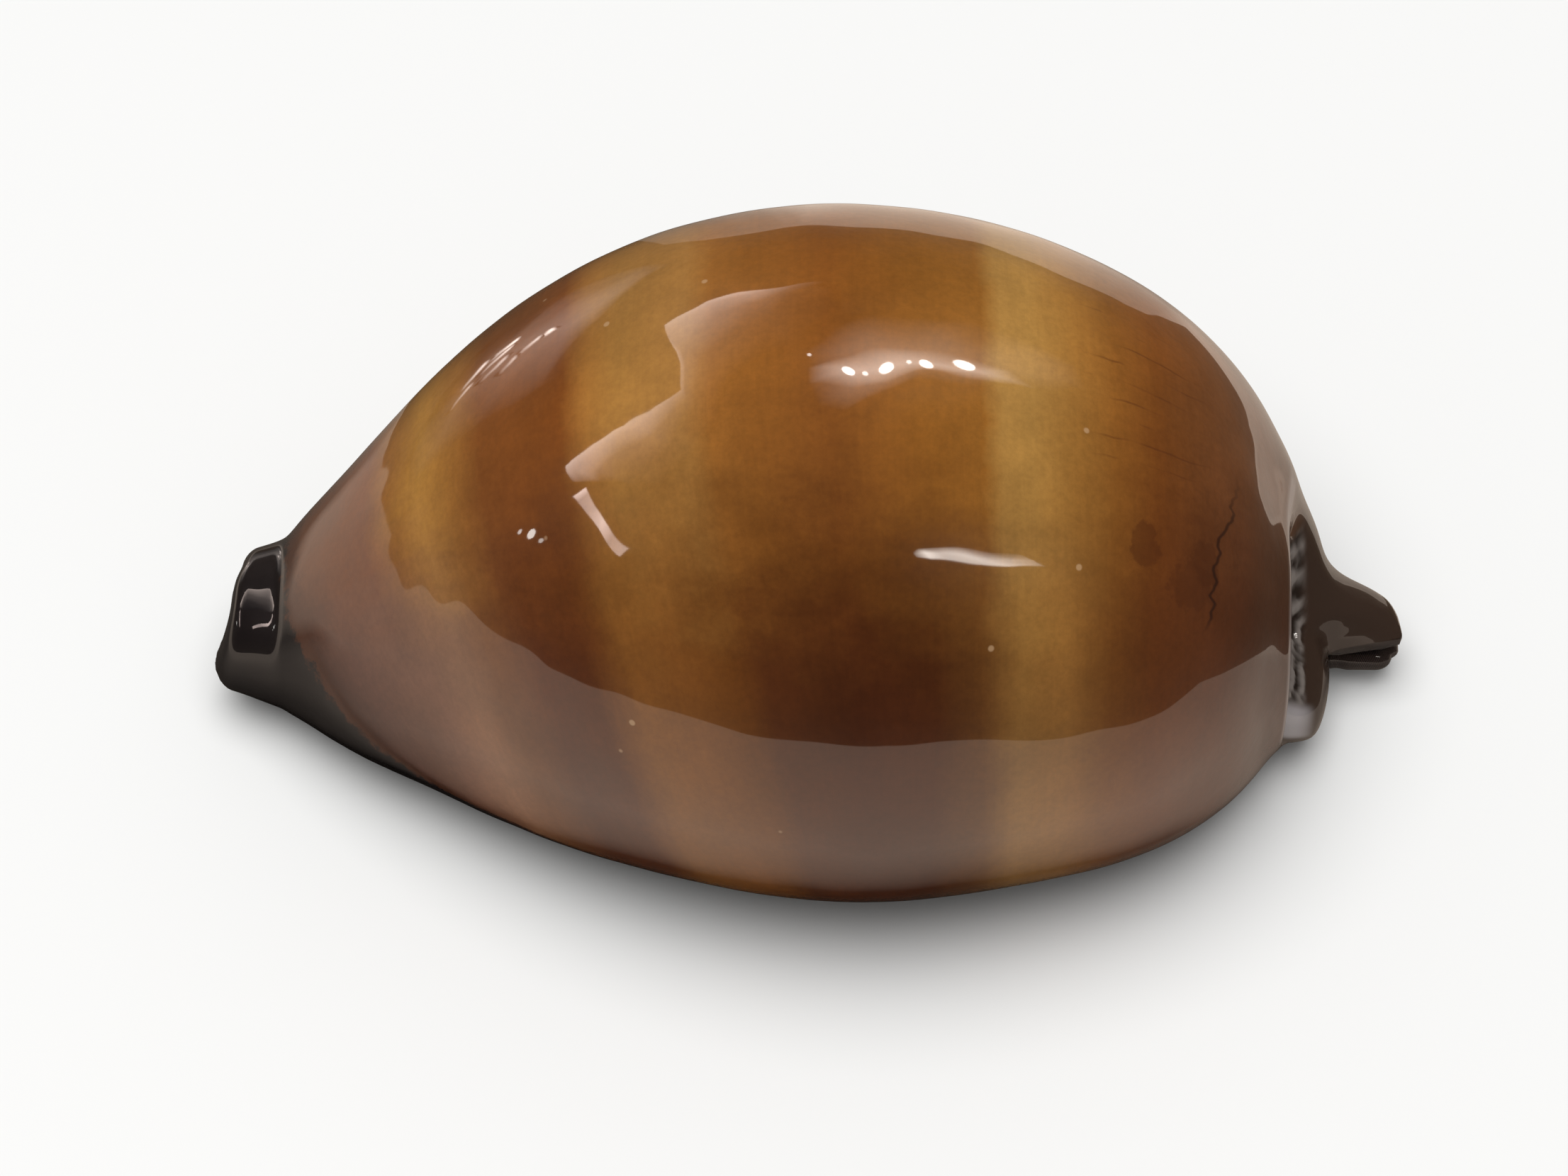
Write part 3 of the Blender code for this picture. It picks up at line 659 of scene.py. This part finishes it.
def build_mesh(name, grid):
    """A mesh of the grid's quads, closed at both ends."""
    points = grid["points"]
    stations, count, _ = points.shape
    index = np.arange(stations * count).reshape(stations, count)
    nxt = np.roll(index, -1, axis=1)
    quads = np.stack([index[:-1], nxt[:-1], nxt[1:], index[1:]], axis=2).reshape(-1, 4)
    faces = quads.tolist()
    faces += end_faces(index[0].tolist(), grid["counts"], False)
    faces += end_faces(index[-1].tolist(), grid["counts"], True)
    mesh = bpy.data.meshes.new(name)
    mesh.from_pydata((points.reshape(-1, 3) * MM).tolist(), [], faces)
    mesh.validate()
    mesh.shade_smooth()
    return mesh


def end_faces(ring, counts, last):
    """The sheet's thin edge at one end, between the outside's row and the cavity's."""
    outer_count, col_count, inner_count, _ = counts
    inner_start = outer_count + col_count
    outer = ring[:outer_count]
    inner = ring[inner_start:inner_start + inner_count][::-1]
    faces = [ring[outer_count - 1:inner_start + 1]]
    faces.append(ring[inner_start + inner_count - 1:] + ring[:1])
    i, j = 0, 0
    while i < len(outer) - 1 or j < len(inner) - 1:
        left = (i + 1) / (len(outer) - 1) <= (j + 1) / (len(inner) - 1)
        if j == len(inner) - 1 or (left and i < len(outer) - 1):
            faces.append([outer[i + 1], outer[i], inner[j]])
            i += 1
        else:
            faces.append([inner[j], inner[j + 1], outer[i]])
            j += 1
    faces[:2] = [face[::-1] for face in faces[:2]]
    return [face[::-1] for face in faces] if last else faces


def make_shell():
    """The fine shell, which stands in for the solid."""
    grid = shell_grid()
    refine(grid)
    mesh = build_mesh("cowrie_shell", grid)
    paint(mesh, grid)
    enamel(mesh)
    piece = add_object("cowrie_shell", mesh)
    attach(piece, "root")
    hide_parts("shell")


def paint(mesh, grid):
    """Store what the enamel's nodes read at each point."""
    x, angle, outer = grid["points"][..., 0], grid["ring_angle"], grid["is_outer"]
    span = np.clip((angle - SWING_ANGLES[0]) / (SWING_ANGLES[1] - SWING_ANGLES[0]), 0, SWING_MOST)
    swing = BAND_SWING * span**SWING_POWER * (1 - ease(*SWING_FADE, x)) * outer
    steps = np.diff(grid["points"], axis=1, prepend=grid["points"][:, :1])
    everywhere = np.ones_like(x)
    grid["along"] = x - swing
    grid["round"] = angle
    grid["arc"] = np.cumsum(np.linalg.norm(steps, axis=2), axis=1)
    grid["outer"] = outer * everywhere
    grid["station"] = grid["outside"]["x"] * everywhere
    for name in PAINTED:
        store(mesh, name, grid[name])


def store(mesh, name, values):
    """Keep one number for each of the mesh's points under this name."""
    layer = mesh.attributes.new(name, "FLOAT", "POINT")
    layer.data.foreach_set("value", np.ascontiguousarray(values, np.float32).ravel())


def add_object(name, data):
    """A new object in the scene."""
    added = bpy.data.objects.new(name, data)
    bpy.context.scene.collection.objects.link(added)
    return added


def add_material(name, mesh):
    """The nodes of a new material on the mesh."""
    material = bpy.data.materials.new(name)
    material.use_nodes = True
    mesh.materials.append(material)
    return Nodes(material.node_tree)


class Nodes:
    """Short ways to add shader nodes to one tree."""

    def __init__(self, tree):
        self.tree = tree

    def fill(self, node, inputs):
        """Set a node's inputs, or link them to the outputs given."""
        for key, value in dict(inputs).items():
            if isinstance(value, bpy.types.NodeSocket):
                self.tree.links.new(value, node.inputs[key])
            else:
                node.inputs[key].default_value = value

    def add(self, kind, inputs=(), **settings):
        """A new node of this kind."""
        node = self.tree.nodes.new(kind)
        for name, value in settings.items():
            setattr(node, name, value)
        self.fill(node, inputs)
        return node

    def attribute(self, name):
        """What the mesh keeps under this name."""
        return self.add("ShaderNodeAttribute", attribute_name=name).outputs["Fac"]

    def math(self, operation, a, b=0.0):
        """One operation on one or two numbers."""
        return self.add("ShaderNodeMath", {0: a, 1: b}, operation=operation).outputs[0]

    def plus(self, a, b):
        """The sum of both."""
        return self.math("ADD", a, b)

    def minus(self, a, b):
        """The first less the second."""
        return self.math("SUBTRACT", a, b)

    def times(self, a, b):
        """The product of both."""
        return self.math("MULTIPLY", a, b)

    def spread(self, value, start, end, low=0.0, high=1.0):
        """From low at start to high at end, by a smooth step."""
        inputs = {0: value, 1: start, 2: end, 3: low, 4: high}
        return self.add("ShaderNodeMapRange", inputs, interpolation_type="SMOOTHSTEP").outputs[0]

    def between(self, value, a, b, c, d):
        """0 up to a, 1 from b to c, 0 from d."""
        return self.times(self.spread(value, a, b), self.spread(value, c, d, 1.0, 0.0))

    def both(self, first, places, second, angles):
        """1 where both values are between their places, with smooth sides."""
        return self.times(self.between(first, *places), self.between(second, *angles))

    def noise(self, vector, scale, detail=2.0, roughness=0.5):
        """Random clouds, between 0 and 1."""
        inputs = {"Vector": vector, "Scale": scale, "Detail": detail, "Roughness": roughness}
        return self.add("ShaderNodeTexNoise", inputs).outputs["Fac"]

    def place(self, x, y, z=0.0):
        """A vector of the three numbers."""
        return self.add("ShaderNodeCombineXYZ", {0: x, 1: y, 2: z}).outputs[0]

    def mix(self, factor, a, b, blend="MIX"):
        """The second colour over the first, as strong as the factor."""
        a, b = (c if isinstance(c, bpy.types.NodeSocket) else (*c, 1) for c in (a, b))
        inputs = {0: factor, 6: a, 7: b}
        return self.add("ShaderNodeMix", inputs, data_type="RGBA", blend_type=blend).outputs[2]

    def ramp(self, value, stops):
        """Colours by a length in mm between RAMP_FROM and RAMP_TO."""
        inputs = {0: value, 1: RAMP_FROM, 2: RAMP_TO}
        share = self.add("ShaderNodeMapRange", inputs).outputs[0]
        node = self.add("ShaderNodeValToRGB", {0: share})
        elements = node.color_ramp.elements
        while len(elements) < len(stops):
            elements.new(0.5)
        for element, (x, *colour) in zip(elements, stops):
            element.position = (x - RAMP_FROM) / (RAMP_TO - RAMP_FROM)
            element.color = (*colour, 1)
        return node.outputs[0]


def enamel(mesh):
    """The shell's one material: bands and marks painted on it, and a clear coat over them."""
    nodes = add_material("enamel", mesh)
    inputs = {0: nodes.add("ShaderNodeTexCoord").outputs["Object"], "Scale": 1 / MM}
    place = nodes.add("ShaderNodeVectorMath", inputs, operation="SCALE").outputs[0]
    colour = bands(nodes, place)
    for layer in (shading, dark_lines, blotches, scar, specks, beak, margins, teeth, pit, inside):
        colour = layer(nodes, colour, place)
    nodes.fill(nodes.tree.nodes["Principled BSDF"], {
        "Base Color": colour, "Normal": surface_relief(nodes, place),
        "Roughness": BODY_ROUGHNESS, "Specular IOR Level": BODY_SPECULAR,
        "Coat Weight": 1.0, "Coat Roughness": COAT_ROUGHNESS, "Coat IOR": COAT_INDEX,
    })


def bands(nodes, place):
    """The colours of the back, with uneven edges, darker down the sides: partly the shell's own colour
    and partly painted shade.
    """
    ragged = nodes.minus(nodes.noise(place, 0.35, 4.0, 0.6), 0.5)
    ragged = nodes.times(ragged, BAND_RAGGEDNESS)
    along = nodes.plus(nodes.attribute("along"), ragged)
    top, low = nodes.ramp(along, TOP_COLOURS), nodes.ramp(along, LOW_COLOURS)
    angle = nodes.attribute("round")
    far = nodes.spread(angle, *FAR_SIDE, 1.0, 0.0)
    streaky = nodes.place(nodes.times(along, 0.16), nodes.times(angle, 0.09))
    streaks = nodes.minus(nodes.noise(streaky, 1.0, 4.0, 0.65), 0.5)
    angle = nodes.plus(angle, nodes.times(streaks, LOW_STREAKS))
    earlier = nodes.spread(along, *SPIRE_END, 0.0, SPIRE_END_DARKER)
    # Towards the low colours down the sides: the shell's own colour and painted shade together.
    near = nodes.spread(nodes.plus(angle, earlier), LOW_FROM, LOW_TO)
    return nodes.mix(nodes.math("MAXIMUM", near, far), top, low)


def shading(nodes, colour, place):
    """Faint growth lines across the shell, fine mottling and broad clouds."""
    along, arc = nodes.attribute("along"), nodes.attribute("arc")
    lines = nodes.place(nodes.times(along, 2.6), nodes.times(arc, 0.10))
    growth = nodes.spread(nodes.noise(lines, 1.0, 4.0, 0.65), 0.30, 0.70, 0.96, 1.03)
    mottle = nodes.spread(nodes.noise(place, 2.3, 4.0, 0.75), 0.25, 0.75, 0.90, 1.10)
    cloud = nodes.spread(nodes.noise(place, 0.16, 3.0, 0.55), 0.28, 0.72, 0.86, 1.14)
    shade = nodes.times(nodes.times(growth, mottle), cloud)
    return nodes.mix(1.0, colour, nodes.place(shade, shade, shade), "MULTIPLY")


def dark_lines(nodes, colour, _):
    """Patchy dark lines that run along the shell, beside its last pale band."""
    along, angle = nodes.attribute("along"), nodes.attribute("round")
    bend = nodes.noise(nodes.place(nodes.times(along, 0.35), 3.0), 1.0, 2.0, 0.5)
    turn = nodes.times(angle, 2 * math.pi / STREAK_SPACING)
    turn = nodes.plus(turn, nodes.times(bend, STREAK_BEND))
    lines = nodes.spread(nodes.math("SINE", turn), 0.90, 1.0)
    patchy = nodes.place(nodes.times(along, 0.30), nodes.times(angle, 0.30))
    strong = nodes.spread(nodes.noise(patchy, 1.0, 2.0, 0.5), 0.42, 0.60)
    here = nodes.both(along, STREAK_PLACES, angle, STREAK_ANGLES)
    streaks = nodes.times(nodes.times(lines, strong), here)
    return nodes.mix(nodes.times(streaks, STREAK_STRENGTH), colour, STREAK_COLOUR)


def blotches(nodes, colour, place):
    """Faint dark patches with uneven edges."""
    along, angle = nodes.attribute("along"), nodes.attribute("round")
    uneven = nodes.times(nodes.noise(place, 0.9, 4.0, 0.6), 1.6)
    for x, turn, length, breadth in BLOTCHES:
        off = nodes.place(
            nodes.math("DIVIDE", nodes.minus(along, x), length),
            nodes.math("DIVIDE", nodes.minus(angle, turn), breadth),
        )
        apart = nodes.add("ShaderNodeVectorMath", {0: off}, operation="LENGTH").outputs["Value"]
        blotch = nodes.spread(nodes.plus(apart, uneven), 1.55, 1.8, BLOTCH_STRENGTH, 0.0)
        colour = nodes.mix(blotch, colour, BLOTCH_COLOUR)
    return colour


def scar(nodes, colour, _):
    """A jagged dark line round the shell, where it once broke at its edge and grew on."""
    along, angle = nodes.attribute("along"), nodes.attribute("round")
    wander = nodes.noise(nodes.place(nodes.times(angle, 0.07), 7.0), 1.0, 3.0, 0.55)
    wander = nodes.spread(wander, 0.2, 0.8, -SCAR_WANDER, SCAR_WANDER)
    middle = nodes.plus(wander, nodes.spread(angle, *SCAR_TURNS, *SCAR_PLACES))
    apart = nodes.math("ABSOLUTE", nodes.minus(along, middle))
    line = nodes.spread(apart, *SCAR_EDGE, 1.0, 0.0)
    line = nodes.times(line, nodes.between(angle, *SCAR_ANGLES))
    return nodes.mix(nodes.times(line, SCAR_STRENGTH), colour, SCAR_COLOUR)


def specks(nodes, colour, place):
    """Small pale dots, far apart."""
    inputs = {"Vector": place, "Scale": SPECK_SPACING}
    apart = nodes.add("ShaderNodeTexVoronoi", inputs).outputs["Distance"]
    dots = nodes.spread(apart, *SPECK_EDGE, 1.0, 0.0)
    return nodes.mix(nodes.times(dots, SPECK_STRENGTH), colour, SPECK_COLOUR)


def beak(nodes, colour, _):
    """The dark spire end, and a painted highlight: a pale line along the pit's rim."""
    dark = nodes.spread(nodes.attribute("station"), *BEAK_STARTS)
    colour = nodes.mix(nodes.times(dark, BEAK_STRENGTH), colour, BEAK_COLOUR)
    # The pale line on the pit's rim is a painted highlight.
    pale = nodes.times(nodes.attribute("pit_rim_highlight"), RIM_HIGHLIGHT_STRENGTH)
    return nodes.mix(pale, colour, RIM_HIGHLIGHT_COLOUR)


def margins(nodes, colour, place):
    """The black snout and margins and the brown base, behind a ragged red-brown fringe."""
    ragged = nodes.minus(nodes.noise(place, 1.6, 5.0, 0.7), 0.5)
    ragged = nodes.times(ragged, BORDER_RAGGEDNESS)
    into = nodes.plus(nodes.attribute("dark"), ragged)
    colour = nodes.mix(nodes.spread(into, *FRINGE_EDGE), colour, FRINGE_COLOUR)
    brown = nodes.spread(nodes.attribute("along"), *BASE_PLACES)
    dark = nodes.mix(brown, BLACK_COLOUR, BASE_COLOUR)
    return nodes.mix(nodes.spread(into, *BLACK_EDGE), colour, dark)


def teeth(nodes, colour, _):
    """Brown teeth with pale grooves between them."""
    tooth = nodes.mix(nodes.spread(nodes.attribute("groove"), *GAP_EDGE), TOOTH_COLOUR, GAP_COLOUR)
    return nodes.mix(nodes.attribute("toothed"), colour, tooth)


def pit(nodes, colour, _):
    """Painted shade in the slits round the sunken spire and painted highlight on the folds between
    them, and a painted pale-grey reflection on the face below them.
    """
    # Dark in the sunken slits and pale on the raised folds: painted shade and highlight.
    folds = nodes.mix(nodes.spread(nodes.attribute("folds"), -0.7, 0.7), *FOLD_SHADE_AND_HIGHLIGHT_COLOURS)
    colour = nodes.mix(nodes.times(nodes.attribute("pit"), FOLD_SHADING_STRENGTH), colour, folds)
    # The face's pale grey is a painted reflection.
    face = nodes.times(nodes.attribute("pit_face_reflection"), FACE_REFLECTION_STRENGTH)
    return nodes.mix(face, colour, FACE_REFLECTION_COLOUR)


def inside(nodes, colour, _):
    """The cavity, the ridged canal in the beak with a painted highlight on its ridges, and the dark
    mouth of the snout.
    """
    hidden = nodes.minus(1.0, nodes.attribute("outer"))
    hidden = nodes.times(hidden, nodes.minus(1.0, nodes.attribute("toothed")))
    colour = nodes.mix(hidden, colour, INSIDE_COLOUR)
    # Paler on the ridges' crests: a painted highlight.
    ridges = nodes.spread(canal_ridges(nodes), *RIDGE_EDGE)
    colour = nodes.mix(nodes.attribute("canal"), colour, nodes.mix(ridges, CANAL_COLOUR, RIDGE_HIGHLIGHT_COLOUR))
    return nodes.mix(nodes.attribute("mouth"), colour, MOUTH_COLOUR)


def canal_ridges(nodes):
    """Waves across the canal's walls: fine teeth, running nearly along it."""
    across = nodes.times(nodes.attribute("arc"), CANAL_RIDGES)
    slant = nodes.times(nodes.attribute("along"), CANAL_SLANT)
    return nodes.math("SINE", nodes.plus(across, slant))


def surface_relief(nodes, place):
    """Very shallow ripples, which roughen the edges of reflections, and the canal's ridges."""
    waves = nodes.noise(place, 0.45, 3.0, 0.5)
    bump = nodes.add("ShaderNodeBump", {"Height": waves, "Distance": RIPPLE_HEIGHT * MM})
    height = nodes.times(canal_ridges(nodes), nodes.attribute("canal"))
    inputs = {"Height": height, "Distance": CANAL_RELIEF * MM, "Normal": bump.outputs[0]}
    return nodes.add("ShaderNodeBump", inputs).outputs[0]


def make_camera():
    """A camera at the photograph's angle, with its frame."""
    data = bpy.data.cameras.new("camera")
    data.sensor_width = SENSOR_WIDTH
    data.lens = SENSOR_WIDTH * FOCAL_PIXELS / PHOTO_WIDTH
    camera = add_object("camera", data)
    rise = math.radians(CAMERA_ELEVATION)
    back = Vector((0, -math.cos(rise), math.sin(rise)))
    camera.location = Vector(CAMERA_TARGET) + back * CAMERA_DISTANCE
    camera.rotation_mode = "QUATERNION"
    camera.rotation_quaternion = (-back).to_track_quat("-Z", "Y")
    bpy.context.scene.camera = camera


def flat_sheet(name, points, height, colour, ring=4):
    """A level sheet: a polygon of the first points, and further rings of as many round it."""
    faces = [range(ring)]
    for start in range(0, len(points) - ring, ring):
        for k in range(ring):
            after = (k + 1) % ring
            faces.append((start + k, start + after, start + ring + after, start + ring + k))
    mesh = bpy.data.meshes.new(name)
    mesh.from_pydata([(x, y, height) for x, y in points], [], faces)
    sheet = add_object(name, mesh)
    nodes = add_material(name, mesh)
    inputs = {"Base Color": (*colour, 1), "Roughness": 1.0, "Specular IOR Level": 0.0}
    nodes.fill(nodes.tree.nodes["Principled BSDF"], inputs)
    return sheet


def make_floor():
    """A pale floor, and the smaller paper on it that the enamel mirrors, with painted shade on the
    paper's colour.
    """
    far = FLOOR_HALF
    corners = ((-far, -far), (far, -far), (far, far), (-far, far))
    floor = flat_sheet("floor", corners, 0.0, FLOOR_COLOUR)
    floor.visible_glossy = False
    rings, shades = paper_rings()
    points = rings.reshape(-1, 2).tolist()
    paper = flat_sheet("mirrored_paper", points, PAPER_HEIGHT, PAPER_COLOUR, rings.shape[1])
    paper.visible_camera = False
    paper.visible_diffuse = False
    paper.visible_shadow = False
    # Painted shade on the paper: a factor on its colour at each point, darkest next to the shell.
    store(paper.data, "shade", shades)
    nodes = Nodes(paper.data.materials[0].node_tree)
    shade = nodes.attribute("shade")
    colour = nodes.mix(1.0, PAPER_COLOUR, nodes.place(shade, shade, shade), "MULTIPLY")
    nodes.fill(nodes.tree.nodes["Principled BSDF"], {"Base Color": colour})


def paper_rings():
    """Rings of points of the mirrored paper, from the shell outwards, and their painted shades."""
    angles, *columns = np.array(PAPER, float).T
    spokes = np.unique(np.concatenate([np.arange(0, 360, 360 / PAPER_SPOKES), angles]))
    reach, *shades = (np.interp(spokes, angles, column, period=360) for column in columns)
    column = dict(zip(SECTION_COLUMNS, np.array(OUTSIDE).T))
    x, y = (np.tile(column["x"], 2), np.concatenate([column["y_lip"], column["y_col"]]))
    margin = np.interp(spokes, *sorted_by_angle(x, y), period=360)
    shares = PAPER_RINGS_WITHIN + PAPER_RING_STEP * np.arange(len(PAPER_RINGS))
    radii = [np.minimum(margin + far, share * reach) for far, share in zip(PAPER_RINGS, shares)]
    radii.append(reach)
    turn = np.radians(spokes)
    spread = np.stack([np.cos(turn), np.sin(turn)], axis=1) * MM
    return np.stack([radius[:, None] * spread for radius in radii]), np.stack(shades)


def sorted_by_angle(x, y):
    """The points' angles from +X in degrees, rising, and their distances from the middle."""
    angles = np.degrees(np.arctan2(y, x)) % 360
    order = np.argsort(angles)
    return angles[order], np.hypot(x, y)[order]


def towards(azimuth, elevation):
    """A direction: azimuth 0 is -Y and 90 is +X."""
    az, el = math.radians(azimuth), math.radians(elevation)
    return Vector((math.cos(el) * math.sin(az), -math.cos(el) * math.cos(az), math.sin(el)))


def area_light(name, direction, distance, size, power, colour=(1, 1, 1)):
    """A round lamp that shines at the shell."""
    data = bpy.data.lights.new(name, "AREA")
    data.shape = "DISK"
    data.size = size
    data.energy = power
    data.color = colour
    light = add_object(name, data)
    light.location = LIT_POINT + direction * distance
    light.rotation_mode = "QUATERNION"
    light.rotation_quaternion = (-direction).to_track_quat("-Z", "Y")
    light.visible_camera = False
    return light


def glow(name, colour, rows, distance=GLOWS_AT):
    """A bright sheet in the room that shows only in the enamel's gloss."""
    points = [LIT_POINT + towards(az, el) * distance for row in rows for az, el, _ in row]
    wide = len(rows[0])
    faces = [
        (k, k + 1, k + 1 + wide, k + wide)
        for start in range(0, wide * (len(rows) - 1), wide) for k in range(start, start + wide - 1)
    ]
    mesh = bpy.data.meshes.new(name)
    mesh.from_pydata(points, [], faces)
    store(mesh, "radiance", [radiance for row in rows for _, _, radiance in row])
    sheet = add_object(name, mesh)
    nodes = add_material(name, mesh)
    inputs = {"Color": (*colour, 1), "Strength": nodes.attribute("radiance")}
    emission = nodes.add("ShaderNodeEmission", inputs)
    nodes.fill(nodes.tree.nodes["Material Output"], {0: emission.outputs[0]})
    for ray in ("camera", "diffuse", "shadow", "transmission"):
        setattr(sheet, "visible_" + ray, False)


def stroke_rows(azimuth, elevation, end_azimuth, end_elevation, width, radiance):
    """A thin bright stroke, brightest near its upper end and dark at its rim."""
    rows = []
    turn, rise = end_azimuth - azimuth, end_elevation - elevation
    scale = width / math.hypot(turn, rise)
    for share, strength in STROKE_SHADES:
        middle, height = azimuth + share * turn, elevation + share * rise
        rim = STROKE_RIM * strength * radiance
        sides = ((-0.5, rim), (0.0, strength * radiance), (0.5, rim))
        rows.append([
            (middle - side * scale * rise, height + side * scale * turn, light)
            for side, light in sides
        ])
    return rows


def make_lights():
    """A big soft light from above, and small ones that only the enamel mirrors."""
    key = area_light("overhead", towards(*KEY_DIRECTION), KEY_DISTANCE, KEY_SIZE, KEY_POWER)
    key.visible_glossy = False
    for number, (azimuth, elevation, angle, radiance) in enumerate(SPOTS):
        size = 2 * SPOTS_AT * math.tan(math.radians(angle) / 2)
        power = radiance * math.pi * math.pi * size**2 / 4
        direction = towards(azimuth, elevation)
        spot = area_light(f"spot_{number}", direction, SPOTS_AT, size, power, SPOT_COLOUR)
        spot.visible_diffuse = False
        spot.data.cycles.cast_shadow = False
    for name, (colour, rows) in GLOWS.items():
        glow(name, colour, rows)
    for number, stroke in enumerate(STROKES):
        nearer = GLOWS_AT - STROKES_NEARER * number
        glow(f"stroke_{number}", STROKE_COLOUR, stroke_rows(*stroke), nearer)


def make_world():
    """Pale behind the object, a soft fill for its matt side and a dark room in its gloss."""
    world = bpy.data.worlds.new("studio")
    world.use_nodes = True
    nodes = Nodes(world.node_tree)
    path = nodes.add("ShaderNodeLightPath")
    fill = nodes.mix(path.outputs["Is Camera Ray"], WORLD_FILL, WORLD_BACKDROP)
    seen = nodes.mix(path.outputs["Is Glossy Ray"], fill, WORLD_MIRRORED)
    nodes.fill(nodes.tree.nodes["Background"], {0: seen})
    bpy.context.scene.world = world


make_camera()
make_shell()
make_floor()
make_lights()
make_world()
bpy.context.scene.view_settings.view_transform = "Standard"
